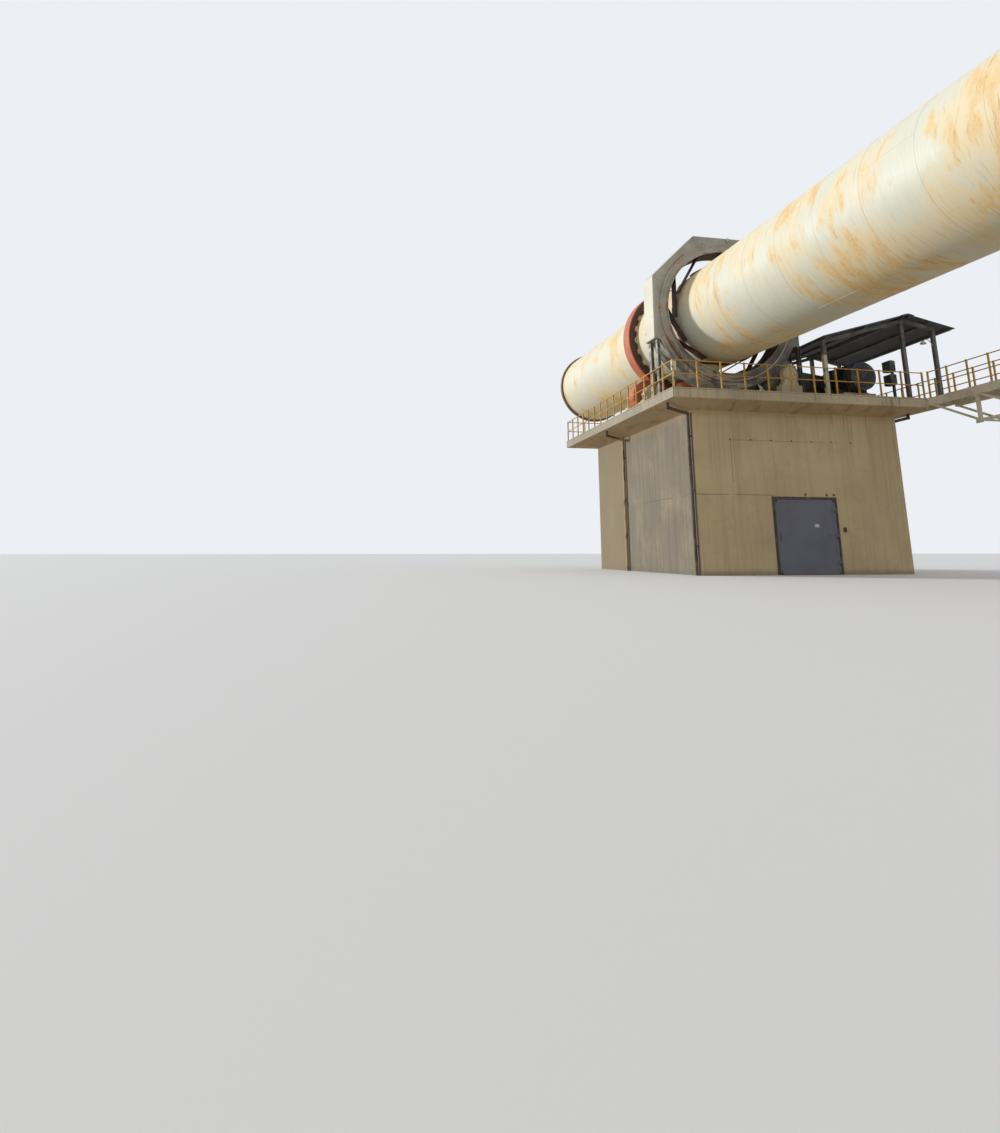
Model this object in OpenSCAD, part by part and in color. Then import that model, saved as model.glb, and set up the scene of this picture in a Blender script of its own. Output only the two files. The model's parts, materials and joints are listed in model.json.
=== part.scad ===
// A rotary kiln on two concrete piers, drawn at half its real size.
// X runs down the slope of the kiln towards its discharge end, Y towards the drive, Z up.
// The origin is on the ground below the kiln axis, level with the first tyre.

/* [Kiln tube] */
// Outer radius of the shell
shell_r = 1120; // [1000:10:1180]
// Thickness of the shell plate
shell_t = 16; // [10:1:30]
// Thickness of the brick lining
lining_t = 100; // [60:5:140]
// How much thicker the course under a tyre is
tyre_course_extra = 8; // [4:1:16]
// Length of tube uphill of the first tyre
feed_overhang = 6700; // [6000:50:7500]
// Distance between the two tyres
tyre_spacing = 18000; // [16500:100:19500]
// Length of tube downhill of the second tyre
discharge_overhang = 6000; // [5200:50:7000]
// Length of the thicker course under a tyre
tyre_course_len = 1500; // [1300:20:1800]
// Where the course that carries the gear ends
gear_course_end = 4300; // [3900:50:5000]
// Fall of the kiln axis in a hundred
slope_percent = 3.5; // [2:0.25:4.5]
// Radial height of the rings at the two ends
end_ring_h = 55; // [40:1:90]
// Width of the rings at the two ends
end_ring_w = 90; // [60:5:160]

/* [Tyres] */
// Outer radius of a tyre
tyre_r = 1345; // [1320:5:1380]
// Width of a tyre
tyre_w = 400; // [320:10:480]
// Chamfer on the edges of a tyre
tyre_chamfer = 14; // [6:1:30]
// Thickness of the filler pads under a tyre
pad_t = 30; // [20:1:40]
// Number of filler pads round a tyre
pad_count = 24; // [16:2:30]
// Share of the round that the pads cover
pad_share = 0.6; // [0.4:0.05:0.75]
// Height of a retaining block above the pads
block_h = 40; // [30:2:44]
// Length of a retaining block along the axis
block_l = 70; // [50:2:100]
// Share of a pad's round that its retaining block covers
block_share = 0.6; // [0.4:0.05:0.8]
// How far a pad reaches past its retaining blocks
pad_over = 20; // [10:1:40]
// Running gap between faces that turn past each other
run_gap = 0.3; // [0.2:0.05:0.5]

/* [Support rollers] */
// Radius of a support roller
roller_r = 400; // [360:10:430]
// Width of a support roller
roller_w = 460; // [420:10:500]
// Angle of a support roller from straight below the axis
roller_angle = 30; // [28:0.5:32]
// Height of a roller axis above its slab
roller_axis_h = 540; // [520:5:600]
// Radius of a roller shaft
roller_shaft_r = 110; // [80:5:130]
// Length of a bearing housing along its shaft
bearing_l = 260; // [200:10:300]
// Width of a bearing housing
bearing_w = 500; // [440:10:540]
// Height of a bearing housing above its shaft
bearing_up = 210; // [180:5:240]
// Depth of a bearing housing below its shaft
bearing_down = 200; // [160:5:230]
// Gap between a roller and its bearing housing
bearing_gap = 50; // [40:5:80]
// Thickness of a bearing housing's foot
bearing_foot = 60; // [40:5:90]
// Thickness of the round cover on the end of a bearing housing
bearing_cover = 20; // [12:2:28]
// How far short of its outer housing's face a shaft ends
shaft_short = 30; // [20:2:40]
// Margin of a bed or a plinth round the housings on it
bed_margin = 60; // [50:5:90]
// Clearance between a roller and the well under it
well_gap = 40; // [20:5:60]

/* [Thrust roller] */
// Radius of the thrust roller
thrust_r = 250; // [200:10:280]
// Thickness of the thrust roller
thrust_t = 110; // [90:2:112]
// Radius of the thrust roller's pin
thrust_pin_r = 70; // [50:5:90]
// Length of the thrust roller's pin
thrust_pin_l = 160; // [120:5:200]
// Radius of the thrust roller's housing
thrust_housing_r = 190; // [150:5:200]
// Length of the foot of the thrust roller's housing
thrust_foot_l = 480; // [420:10:520]
// Width of the foot of the thrust roller's housing
thrust_foot_w = 420; // [400:10:480]

/* [Heat shields] */
// Width of a heat shield
shield_w = 500; // [400:10:520]
// Height of a heat shield
shield_h = 440; // [360:10:480]
// Thickness of a heat shield's plate
shield_t = 10; // [6:1:16]
// Radius of the round corners of a heat shield's frame
shield_corner = 70; // [40:5:100]
// Height of a heat shield's lower edge above the roller axis
shield_low = 330; // [300:10:360]
// Tilt of the lower shields from upright
shield_tilt = 50; // [35:1:60]

/* [Girth gear] */
// Number of teeth on the girth gear
gear_teeth = 132; // [120:2:136]
// Number of teeth on the pinion
pinion_teeth = 22; // [20:1:24]
// Tooth module, the pitch diameter over the number of teeth
tooth_module = 25; // [24:0.25:25.5]
// Pressure angle of the teeth
pressure_angle = 20; // [18:1:22]
// Backlash between the teeth
backlash = 3; // [1:0.5:4]
// Face width of the girth gear
gear_w = 280; // [240:10:320]
// Thickness of the girth gear's rim below the teeth
rim_t = 80; // [60:5:110]
// Distance of the girth gear from the first tyre
gear_x = 2480; // [2400:10:2600]
// Number of spring plates
spring_count = 12; // [8:1:16]
// Thickness of a spring plate
spring_t = 14; // [10:1:20]
// Width of a spring plate
spring_w = 220; // [160:10:240]
// Length round the shell of the saddle that holds a spring plate
saddle_l = 240; // [180:10:280]
// Height of that saddle above the plate
saddle_over = 12; // [6:1:20]
// Angle of the pinion from straight below the axis
pinion_angle = 43; // [40:0.5:46]
// Face width of the pinion
pinion_w = 310; // [300:5:340]
// Radius of the pinion shaft
pinion_shaft_r = 90; // [70:5:110]

/* [Gear guard] */
// Clearance between the girth gear's teeth and the guard's plate
guard_clear = 66; // [50:2:90]
// Inner radius of the guard's side plates
guard_inner_r = 1410; // [1360:10:1440]
// Width of the guard along the axis
guard_w = 500; // [460:10:540]
// Thickness of the guard's plates
guard_t = 14; // [8:1:20]
// Height of the rolled rim round the opening
guard_rim_h = 36; // [20:2:60]
// Radial width of the rolled rim round the opening
guard_rim_w = 26; // [16:2:40]
// Radial width of the plate between the two rims
guard_band_w = 170; // [120:10:200]
// Number of ribs round the pinion's cover
cover_ribs = 3; // [2:1:3]
// Height of a rib on the pinion's cover
cover_rib_h = 30; // [16:2:40]
// Drop of the guard's split below the kiln axis
guard_split = 700; // [660:5:720]
// Width of a guard post
guard_post = 100; // [80:5:120]
// Depth of a guard post
guard_post_depth = 70; // [50:2:74]
// Clearance round the pinion inside its cover
cover_gap = 60; // [40:5:80]

/* [Drive] */
// Distance of the motor from the pinion, across the kiln
motor_offset = 1690; // [1600:10:1800]
// Radius of the motor's body over its fins
motor_r = 340; // [280:10:360]
// Length of the motor
motor_l = 1050; // [900:10:1150]
// Number of cooling fins round the motor
fin_count = 40; // [24:2:48]
// Thickness of a cooling fin
fin_t = 8; // [5:1:12]
// Height of a cooling fin
fin_h = 36; // [20:2:50]
// Length of each end shield of the motor
end_shield_l = 50; // [30:5:80]
// Length of the motor's terminal box
terminal_l = 320; // [240:10:380]
// Height of the motor's terminal box
terminal_h = 240; // [180:10:280]
// How far the terminal box stands out from the motor
terminal_out = 90; // [60:5:120]
// Length of the gearbox along the kiln
gearbox_l = 760; // [700:10:820]
// Height of the gearbox above its shafts
gearbox_up = 430; // [380:10:480]
// Distance from the pinion's shaft to the gearbox's near side
gearbox_near = 360; // [330:10:380]
// Distance from the motor's shaft to the gearbox's far side
gearbox_far = 300; // [260:10:320]
// How far the gearbox's flanges stand out
gearbox_flange = 36; // [24:2:44]
// Thickness of the bearing caps on the gearbox
gearbox_cap = 18; // [10:1:24]
// Gap between machines along the kiln
machine_gap = 60; // [50:5:80]
// Width of a pinion bearing housing
pinion_bearing_w = 380; // [340:10:400]
// Length of a pinion bearing housing
pinion_bearing_l = 150; // [120:5:170]
// Depth of the drive machines below their shafts
drive_down = 260; // [240:5:300]
// Radius of the shaft couplings
coupling_r = 170; // [140:5:190]
// Radius of the motor's shaft
motor_shaft_r = 60; // [45:5:75]

/* [Control post] */
// Distance of the control post from the first tyre
control_x = 3040; // [2960:10:3080]
// Where the control post is across the kiln
control_y = 3800; // [3700:10:3840]
// Height of the control post
control_h = 950; // [850:10:1050]
// Width of a control box
control_w = 240; // [180:10:280]

/* [First pier] */
// Height of the walls of the first pier
wall_h = 3358; // [3200:10:3500]
// Where the uphill face of the first pier is
pier_x0 = -2876; // [-3000:10:-2700]
// Where the discharge face of the first pier is
pier_x1 = 3080; // [3000:10:3150]
// Where the near face of the first pier is
pier_y0 = -1175; // [-1250:5:-1100]
// Where the drive face of the first pier is
pier_y1 = 3675; // [3500:5:3800]
// Length of the solid part below the tyre
mass_end = 700; // [600:20:900]
// Thickness of the walls round the room
wall_t = 250; // [180:10:320]
// Rise of the sloping soffit
soffit_rise = 177; // [120:5:240]
// Thickness of the slab's edge
slab_t = 206; // [160:2:260]
// Overhang of the slab on the discharge side
over_front = 395; // [350:5:450]
// Overhang of the slab on the two long sides
over_side = 570; // [540:5:620]
// Overhang of the slab on the uphill side
over_back = 1324; // [1200:10:1450]
// How far the thick uphill part of the near face stands out
pilaster_out = 30; // [15:1:60]
// Length of the thick uphill part of the near face
pilaster_l = 2000; // [1800:20:2200]
// Radius of a rainwater pipe
drain_r = 34; // [24:1:44]
// How much thicker a rainwater pipe is at its bends
drain_collar = 6; // [3:1:12]
// Gap between a rainwater pipe and the wall
drain_gap = 20; // [10:1:40]
// Number of brackets that hold a rainwater pipe
drain_clips = 3; // [2:1:5]
// Thickness of the floor in the room
floor_t = 40; // [20:5:60]

/* [Door] */
// Width of the doorway
door_w = 1400; // [1200:10:1500]
// Height of the doorway
door_h = 1530; // [1400:10:1650]
// Thickness of the door leaf
leaf_t = 40; // [30:1:60]
// Gap round the door leaf
leaf_gap = 6; // [5:0.5:10]
// Width of the door frame
frame_w = 50; // [40:1:80]
// Thickness of the door frame
frame_t = 12; // [8:1:20]
// Radius of a hinge knuckle
knuckle_r = 14; // [12:0.5:15]
// Radius of a hinge pin
hinge_pin_r = 8; // [6:0.5:9]
// Height of one hinge knuckle
knuckle_h = 50; // [40:2:70]
// Number of hinges
hinge_count = 3; // [2:1:4]
// Length of a hinge strap on the leaf
strap_len = 190; // [140:5:260]
// Height of the door's handle
handle_h = 160; // [120:5:220]
// How far the handle stands out
handle_out = 34; // [24:1:50]

/* [Second pier] */
// Length of the second pier's slab along the kiln
slab_b_l = 2450; // [2300:10:2700]
// Thickness of the second pier's slab
slab_b_t = 280; // [220:5:340]
// Half the length of the shaft at its top
shaft_half_l = 1000; // [900:10:1080]
// Half the width of the shaft at its top
shaft_half_w = 1230; // [1150:10:1350]
// How much wider each side of the shaft is at the ground
shaft_batter = 150; // [80:5:220]
// Height of the flare below the slab
flare_h = 300; // [240:10:380]
// How far the pilaster on the shaft stands out
pilaster_b_out = 60; // [30:2:90]
// Length of the pilaster on the shaft
pilaster_b_l = 800; // [600:20:900]
// Overhang of the second slab past the flare
over_b = 120; // [80:5:160]

/* [Railings] */
// Height of a handrail
rail_h = 590; // [520:5:620]
// Radius of a handrail's tube
rail_r = 12; // [9:1:16]
// Width of a handrail post
post_w = 30; // [26:1:40]
// Distance between handrail posts
post_pitch = 520; // [460:10:640]
// Distance of a handrail from the edge it guards
rail_inset = 40; // [30:2:60]

/* [Walkway] */
// Width of the walkway
walk_w = 700; // [640:10:760]
// Number of bays of the walkway
walk_bays = 6; // [4:1:6]
// Length of a bay of the walkway
bay_l = 1250; // [1150:10:1350]
// Depth of the walkway's truss
truss_h = 700; // [600:10:800]
// Thickness of the walkway's steel bars
bar_w = 60; // [50:2:80]
// Thickness of the walkway's deck
deck_t = 24; // [16:2:40]
// Depth of the beams at the deck's sides
walk_beam = 110; // [90:5:140]
// Depth of a joist under the deck
joist_h = 60; // [40:5:80]
// Number of joists under a bay
joists_a_bay = 2; // [1:1:3]
// Length of the strip beside the first pier
strip_l = 3600; // [3000:50:4200]

/* [Canopy] */
// Where the canopy's eave beside the kiln is
eave_in_y = 1900; // [1860:10:2000]
// Height of the eave beside the kiln above the slab
eave_in_h = 1300; // [1250:10:1400]
// Height of the ridge above the slab
ridge_h = 1940; // [1850:10:2050]
// Where the ridge is
ridge_y = 4090; // [3900:10:4150]
// Height of the outer eave above the slab
eave_out_h = 1680; // [1600:10:1760]
// How far the roof reaches past its outer posts
eave_over = 360; // [280:10:420]
// Length of the canopy along the kiln
canopy_l = 3700; // [3500:20:3900]
// Width of a canopy post
canopy_post = 80; // [60:2:100]
// Thickness of the roof sheet with its ribs
roof_t = 34; // [20:2:50]
// Distance of a rafter from the end of the roof
rafter_inset = 150; // [100:10:220]
// Depth of a purlin
purlin_h = 44; // [30:2:60]
// Number of purlins on a slope of the roof
purlins = 3; // [2:1:4]
// Distance of the canopy from the slab's edge
canopy_inset = 60; // [40:5:100]

/* [Hidden] */

slope = atan(slope_percent / 100);
slab_top = wall_h + soffit_rise + slab_t;
slab_x0 = pier_x0 - over_back;
slab_x1 = pier_x1 + over_front;
slab_y0 = pier_y0 - over_side;
slab_y1 = pier_y1 + over_side;
roller_dist = tyre_r + roller_r + run_gap;
roller_drop = roller_dist * cos(roller_angle);
roller_y = roller_dist * sin(roller_angle);
axis_z = slab_top + roller_axis_h + roller_drop / cos(slope);
slab_b_top = slab_top - tyre_spacing * tan(slope);
slab_b_half_w = over_side - pier_y0;
course_r = shell_r + tyre_course_extra;
shell_in = shell_r - shell_t;
bore_r = shell_in - lining_t;
pad_r = course_r + pad_t;
tyre_bore_r = pad_r + run_gap;
tube_x0 = -feed_overhang;
tube_x1 = tyre_spacing + discharge_overhang;
gear_pitch_r = gear_teeth * tooth_module / 2;
gear_root_r = gear_pitch_r - 1.25 * tooth_module;
gear_inner_r = gear_root_r - rim_t;
guard_r = gear_pitch_r + tooth_module + guard_clear + guard_t;
pinion_pitch_r = pinion_teeth * tooth_module / 2;
pinion_dist = gear_pitch_r + pinion_pitch_r;
pinion_y = pinion_dist * sin(pinion_angle);
pinion_drop = pinion_dist * cos(pinion_angle);
cover_r = pinion_pitch_r + tooth_module + cover_gap;
post_near_y = -sqrt(pow(guard_r, 2) - pow(guard_split, 2)) - 2 - guard_post_depth / 2;
post_drive_y = max(-post_near_y, pinion_y + cover_r + guard_t + cover_rib_h + 2 + guard_post_depth / 2);
motor_y = pinion_y + motor_offset;
bed_drop = roller_drop + bearing_down;
drive_drop = pinion_drop + drive_down;
motor_foot = motor_r + 20;
coupling_gap = 12;
bearing_x = roller_w / 2 + bearing_gap + bearing_l / 2;
bed_half_l = bearing_x + bearing_l / 2 + bed_margin;
thrust_x = tyre_w / 2 + thrust_r + run_gap;
thrust_face_r = tyre_r - tyre_chamfer - thrust_t / 2 - 10;
thrust_bed_l = thrust_x + thrust_foot_l / 2 + 20;
pinion_bearing_x = guard_w / 2 + guard_rim_h + machine_gap + pinion_bearing_l / 2;
shaft_reach = machine_gap * 4;
gearbox_x1 = gear_x - pinion_bearing_x - pinion_bearing_l / 2 - shaft_reach;
gearbox_x0 = gearbox_x1 - gearbox_l;
motor_x0 = gearbox_x1 + shaft_reach * 1.5;
door_y = (pier_y0 + pier_y1) / 2;
hinge_out = knuckle_r + 6;
walk_y0 = slab_y1;
walk_y1 = slab_y1 + walk_w;
walk_x1 = slab_x1 + walk_bays * bay_l;
eave_out_y = walk_y1 + eave_over;
canopy_x1 = slab_x1 - canopy_inset;
canopy_x0 = canopy_x1 - canopy_l;
round_fine = 128;
round_guard = 360;

// Height of a plane that lies parallel to the kiln axis, a drop below it
function sloped_z(x, drop) = axis_z - x * tan(slope) - drop / cos(slope);

// Distance from the first tyre, along the ground, of a point x down the axis and a drop below it
function level_x(x, drop) = x * cos(slope) - drop * sin(slope);

// Points of an involute toothed wheel, with a tooth centred on the angle turn
function involute(base, r) =
    let (a = acos(min(1, base / r))) tan(a) * 180 / PI - a;
function tooth_radii(pitch, base, root) = concat([root], base > root ? [base] : [],
    [(max(base, root) + pitch) / 2, pitch, pitch + tooth_module]);
function wheel_points(teeth, turn) =
    let (pitch = teeth * tooth_module / 2, base = pitch * cos(pressure_angle),
        root = pitch - 1.25 * tooth_module, radii = tooth_radii(pitch, base, root),
        last = len(radii) - 1, half = 90 / teeth - backlash / pitch * 45 / PI + involute(base, pitch))
    [for (k = [0 : teeth - 1], j = [0 : 2 * last + 1])
        let (r = radii[j <= last ? j : 2 * last + 1 - j], side = j <= last ? -1 : 1,
            a = k * 360 / teeth + turn + side * (half - involute(base, r)))
        [r * cos(a), r * sin(a)]];

// Places children in the frame of the kiln axis, x along it
module on_axis(x = 0) {
    translate([0, 0, axis_z]) rotate([0, slope, 0]) translate([x, 0, 0]) children();
}

// A cylinder along x from x0 to x1
module rod(x0, x1, r, sides = round_fine) {
    translate([x0, 0, 0]) rotate([0, 90, 0]) cylinder(h = x1 - x0, r = r, $fn = sides);
}

// A tube along x from x0 to x1
module ring(x0, x1, outer, inner) {
    difference() {
        rod(x0, x1, outer);
        rod(x0 - 1, x1 + 1, inner);
    }
}

// A box between two corners
module block(low, high) {
    translate(low) cube(high - low);
}

// A block that stands on a level and ends in a plane parallel to the kiln axis
module wedge(x0, x1, y0, y1, level, drop) {
    translate([0, y1, 0]) rotate([90, 0, 0]) linear_extrude(y1 - y0)
        polygon([[x0, level], [x1, level], [x1, sloped_z(x1, drop)], [x0, sloped_z(x0, drop)]]);
}

// A straight bar of square section between two points of one plane y
module bar_xz(a, b, y, w) {
    d = b - a;
    translate([a[0], y, a[1]]) rotate([0, -atan2(d[1], d[0]), 0])
        translate([-w / 2, -w / 2, -w / 2]) cube([norm(d) + w, w, w]);
}

// A straight bar of square section between two points of one plane x
module bar_yz(a, b, x, w) {
    d = b - a;
    translate([x, a[0], a[1]]) rotate([atan2(d[1], d[0]), 0, 0])
        translate([-w / 2, -w / 2, -w / 2]) cube([w, norm(d) + w, w]);
}

// A handrail along x or y from a start point, with posts and two tubes
module handrail(start, length, turn = 0) {
    count = max(1, round(length / post_pitch));
    translate(start) rotate([0, 0, turn]) {
        for (i = [0 : count])
            translate([i * length / count - post_w / 2, -post_w / 2, 0]) cube([post_w, post_w, rail_h]);
        for (z = [rail_h / 2, rail_h - rail_r - 2])
            translate([0, 0, z]) rod(0, length, rail_r, 8);
    }
}

module shell_course(x0, x1, r) {
    color([0.80, 0.79, 0.72]) on_axis() ring(x0, x1, r, shell_in);
}

module shell_feed_end() {
    shell_course(tube_x0, -tyre_course_len / 2, shell_r);
}

module shell_tyre_a() {
    shell_course(-tyre_course_len / 2, tyre_course_len / 2, course_r);
}

module shell_gear_course() {
    shell_course(tyre_course_len / 2, gear_course_end, shell_r);
}

module shell_middle() {
    shell_course(gear_course_end, tyre_spacing - tyre_course_len / 2, shell_r);
}

module shell_tyre_b() {
    shell_course(tyre_spacing - tyre_course_len / 2, tyre_spacing + tyre_course_len / 2, course_r);
}

module shell_discharge_end() {
    shell_course(tyre_spacing + tyre_course_len / 2, tube_x1, shell_r);
}

module lining() {
    color([0.36, 0.30, 0.26]) on_axis() ring(tube_x0, tube_x1, shell_in, bore_r);
}

module feed_end_ring() {
    color([0.52, 0.48, 0.44]) on_axis() union() {
        ring(tube_x0, tube_x0 + end_ring_w, shell_r + end_ring_h, shell_r);
        ring(tube_x0 - end_ring_w / 3, tube_x0, shell_r + end_ring_h, bore_r);
    }
}

module nose_ring() {
    color([0.40, 0.33, 0.28]) on_axis() union() {
        ring(tube_x1 - end_ring_w, tube_x1, shell_r + end_ring_h, shell_r);
        ring(tube_x1, tube_x1 + end_ring_w / 2, shell_r + end_ring_h, bore_r);
    }
}

module tyre(x) {
    color([0.72, 0.27, 0.15]) on_axis(x) rotate([0, 90, 0]) rotate_extrude($fn = round_fine)
        polygon([[tyre_bore_r, -tyre_w / 2], [tyre_r - tyre_chamfer, -tyre_w / 2],
            [tyre_r, tyre_chamfer - tyre_w / 2], [tyre_r, tyre_w / 2 - tyre_chamfer],
            [tyre_r - tyre_chamfer, tyre_w / 2], [tyre_bore_r, tyre_w / 2]]);
}

// Filler pads with a retaining block at each end, set round a tyre's course
module tyre_pads(x) {
    span = 360 / pad_count * pad_share;
    pad_l = tyre_w + 2 * (block_l + run_gap + pad_over);
    color([0.86, 0.80, 0.66]) on_axis(x) rotate([0, 90, 0])
        for (i = [0 : pad_count - 1]) rotate([0, 0, i * 360 / pad_count]) {
            translate([0, 0, -pad_l / 2]) rotate_extrude(angle = span, $fn = round_fine)
                translate([course_r + run_gap, 0]) square([pad_t - run_gap, pad_l]);
            for (side = [-1, 1]) translate([0, 0, side * (tyre_w / 2 + run_gap + block_l / 2)])
                rotate([0, 0, span * (1 - block_share) / 2])
                    rotate_extrude(angle = span * block_share, $fn = round_fine)
                        translate([pad_r, -block_l / 2]) square([block_h, block_l]);
        }
}

module girth_gear() {
    color([0.30, 0.22, 0.17]) on_axis(gear_x) rotate([0, 90, 0]) difference() {
        translate([0, 0, -gear_w / 2]) linear_extrude(gear_w)
            polygon(wheel_points(gear_teeth, pinion_angle - 180 / gear_teeth));
        cylinder(h = gear_w + 2, r = gear_inner_r, center = true, $fn = round_fine);
    }
}

// Flat plates that leave the shell as tangents and meet the rim of the girth gear
module spring_plates() {
    reach = sqrt(pow(gear_inner_r, 2) - pow(shell_r, 2)) + spring_w;
    saddle_dip = shell_r - sqrt(pow(shell_r, 2) - pow(saddle_l / 2, 2)) + 10;
    color([0.34, 0.22, 0.15]) on_axis(gear_x) intersection() {
        for (i = [0 : spring_count - 1]) rotate([i * 360 / spring_count, 0, 0])
            translate([-spring_w / 2, 0, 0]) difference() {
                union() {
                    translate([0, 0, shell_r + 4]) cube([spring_w, reach, spring_t]);
                    translate([0, -saddle_l / 2, shell_r - saddle_dip])
                        cube([spring_w, saddle_l, saddle_dip + 4 + spring_t + saddle_over]);
                }
                translate([-1, 0, 0]) rod(0, spring_w + 2, shell_r + run_gap);
            }
        rod(-gear_w / 2, gear_w / 2, gear_inner_r - run_gap);
    }
}

// A support roller on its shaft, lying beside the tyre at x, on side -1 or 1
module support_roller(x, side) {
    shaft_end = bearing_x + bearing_l / 2 - shaft_short;
    color([0.74, 0.30, 0.18]) on_axis(x) translate([0, side * roller_y, -roller_drop]) union() {
        rod(-roller_w / 2, roller_w / 2, roller_r);
        rod(-shaft_end, shaft_end, roller_shaft_r);
    }
}

// A split bearing housing of length l and width w round a shaft along x, its outer end at +x.
// A blind housing has a closed cover there, and the others let the shaft through.
module bearing(l, w, up, down, shaft_r, blind) {
    bore = shaft_r + run_gap;
    split_t = bearing_foot * 0.6;
    difference() {
        union() {
            rotate([90, 0, 90]) translate([0, 0, -l / 2]) linear_extrude(l) {
                translate([-w / 2, -down]) square([w, bearing_foot]);
                polygon([[-w * 0.4, -down], [w * 0.4, -down], [up * 0.85, up * 0.3], [-up * 0.85, up * 0.3]]);
                intersection() {
                    circle(r = up, $fn = round_fine);
                    translate([-up, -down]) square([2 * up, down + 2 * up]);
                }
            }
            translate([-l * 0.4, -w * 0.47, -split_t / 2]) cube([l * 0.8, w * 0.94, split_t]);
            for (side = [-1, 1]) translate([-l * 0.06, side > 0 ? 0 : -w * 0.46, -down])
                cube([l * 0.12, w * 0.46, down]);
            rod(-l / 2 - bearing_cover, l / 2 + bearing_cover, (up + bore) / 2);
        }
        rod(-l, l / 2 - (blind ? shaft_short / 2 : -l), bore);
    }
}

module bearings(x) {
    color([0.83, 0.79, 0.66]) on_axis(x) for (side = [-1, 1], end = [-1, 1])
        translate([end * bearing_x, side * roller_y, -roller_drop]) rotate([0, 0, end > 0 ? 0 : 180])
            bearing(bearing_l, bearing_w, bearing_up, bearing_down, roller_shaft_r, true);
}

// A steel bed on a concrete plinth, with a well under each roller
module roller_bed(x, level, front) {
    half_w = roller_y + bearing_w / 2 + bed_margin;
    well = roller_w / 2 + bearing_gap / 2;
    top = bed_drop + run_gap;
    color([0.66, 0.62, 0.55]) difference() {
        wedge(level_x(x - bed_half_l, top), level_x(x + front, top), -half_w, half_w, level, top);
        on_axis(x) for (side = [-1, 1]) translate([0, side * roller_y, -roller_drop])
            rod(-well, well, roller_r + well_gap);
    }
}

module thrust_roller() {
    color([0.70, 0.30, 0.18]) on_axis(thrust_x) translate([0, 0, -thrust_face_r]) union() {
        cylinder(h = thrust_t, r = thrust_r, center = true, $fn = round_fine);
        translate([0, 0, -thrust_t / 2 - thrust_pin_l])
            cylinder(h = thrust_pin_l + thrust_t / 2, r = thrust_pin_r, $fn = 64);
    }
}

module thrust_housing() {
    pin_top = -thrust_face_r - thrust_t / 2;
    top = pin_top - 12;
    foot_t = 50;
    color([0.78, 0.74, 0.62]) on_axis(thrust_x) difference() {
        union() {
            translate([0, 0, -bed_drop]) cylinder(h = bed_drop + top, r = thrust_housing_r, $fn = 64);
            translate([-thrust_foot_l / 2, -thrust_foot_w / 2, -bed_drop])
                cube([thrust_foot_l, thrust_foot_w, foot_t]);
        }
        translate([0, 0, pin_top - thrust_pin_l - 20])
            cylinder(h = 2 * thrust_pin_l, r = thrust_pin_r + run_gap, $fn = 64);
    }
}

// A rectangle of width w and height h with round corners, standing on the origin
module rounded(w, h, r) {
    polygon([for (corner = [0 : 3], step = [0 : 4])
        let (turn = 45 + 90 * corner, a = 90 * corner + 22.5 * step)
        [sign(cos(turn)) * (w / 2 - r) + r * cos(a), h / 2 + sign(sin(turn)) * (h / 2 - r) + r * sin(a)]]);
}

// A heat shield: a plate in a raised frame with round corners, upright and facing -y
module shield() {
    rim = 3 * shield_t;
    rotate([90, 0, 0]) difference() {
        linear_extrude(rim) rounded(shield_w, shield_h, shield_corner);
        translate([0, rim, shield_t]) linear_extrude(rim)
            rounded(shield_w - 2 * rim, shield_h - 2 * rim, shield_corner - rim);
    }
}

// Shields on two posts outside each roller's ends, with a sloping one below on the downhill side
module heat_shields() {
    post = 4 * shield_t;
    y = roller_y + bearing_w / 2;
    x = bed_half_l + post + shield_w / 2;
    low = roller_drop - shield_low;
    color([0.88, 0.87, 0.84]) for (side = [0, 1], end = [-1, 1]) mirror([0, side, 0]) {
        on_axis(tyre_spacing + end * x) translate([0, -y, -low]) shield();
        if (end > 0) on_axis(tyre_spacing + x) translate([0, -y, -low]) rotate([-shield_tilt, 0, 0])
            translate([0, 0, 2 * shield_t - shield_h * 0.8]) scale(0.8) shield();
        for (leg = [-1, 1]) {
            leg_x = level_x(tyre_spacing + end * x + leg * (shield_w / 2 - post), low - shield_h / 2);
            wedge(leg_x - post / 2, leg_x + post / 2, -y - shield_t / 2, post - y, slab_b_top,
                low - shield_h / 2);
        }
    }
}

// Outline of the guard's upper part, an octagon down to a level above or below the axis
module guard_octagon(r, level) {
    intersection() {
        rotate([0, 0, 22.5]) circle(r = r / cos(22.5), $fn = 8);
        translate([-2 * r, level]) square([4 * r, 3 * r]);
    }
}

// Outline of the guard's lower part, round below a level, with the pinion's cover
module guard_trough(r, cover, level) {
    intersection() {
        circle(r = r, $fn = round_guard);
        translate([-2 * r, level - 3 * r]) square([4 * r, 3 * r]);
    }
    at_pinion() circle(r = cover, $fn = round_fine);
}

// Where the pinion sits, seen along the axis
module at_pinion() {
    translate([pinion_y, -pinion_drop]) children();
}

// Raised rims on both side plates, one round the opening and one a band further out
module guard_rims() {
    for (side = [0, 1], r = [guard_inner_r, guard_inner_r + guard_band_w]) mirror([0, 0, side])
        translate([0, 0, guard_w / 2]) linear_extrude(guard_rim_h) difference() {
            circle(r = r + guard_rim_w, $fn = round_guard);
            circle(r = r, $fn = round_guard);
        }
}

// Ledges along the split, from inside the guard's wall out over the posts, above or below it
module guard_ledges(z) {
    inside = sqrt(pow(guard_r - guard_t, 2) - pow(guard_split, 2));
    past = guard_post_depth / 2 + 10;
    for (span = [[post_near_y - past, -inside], [inside, post_drive_y + past]])
        translate([span[0], z, -guard_w / 2]) cube([span[1] - span[0], guard_t, guard_w]);
}

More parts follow.
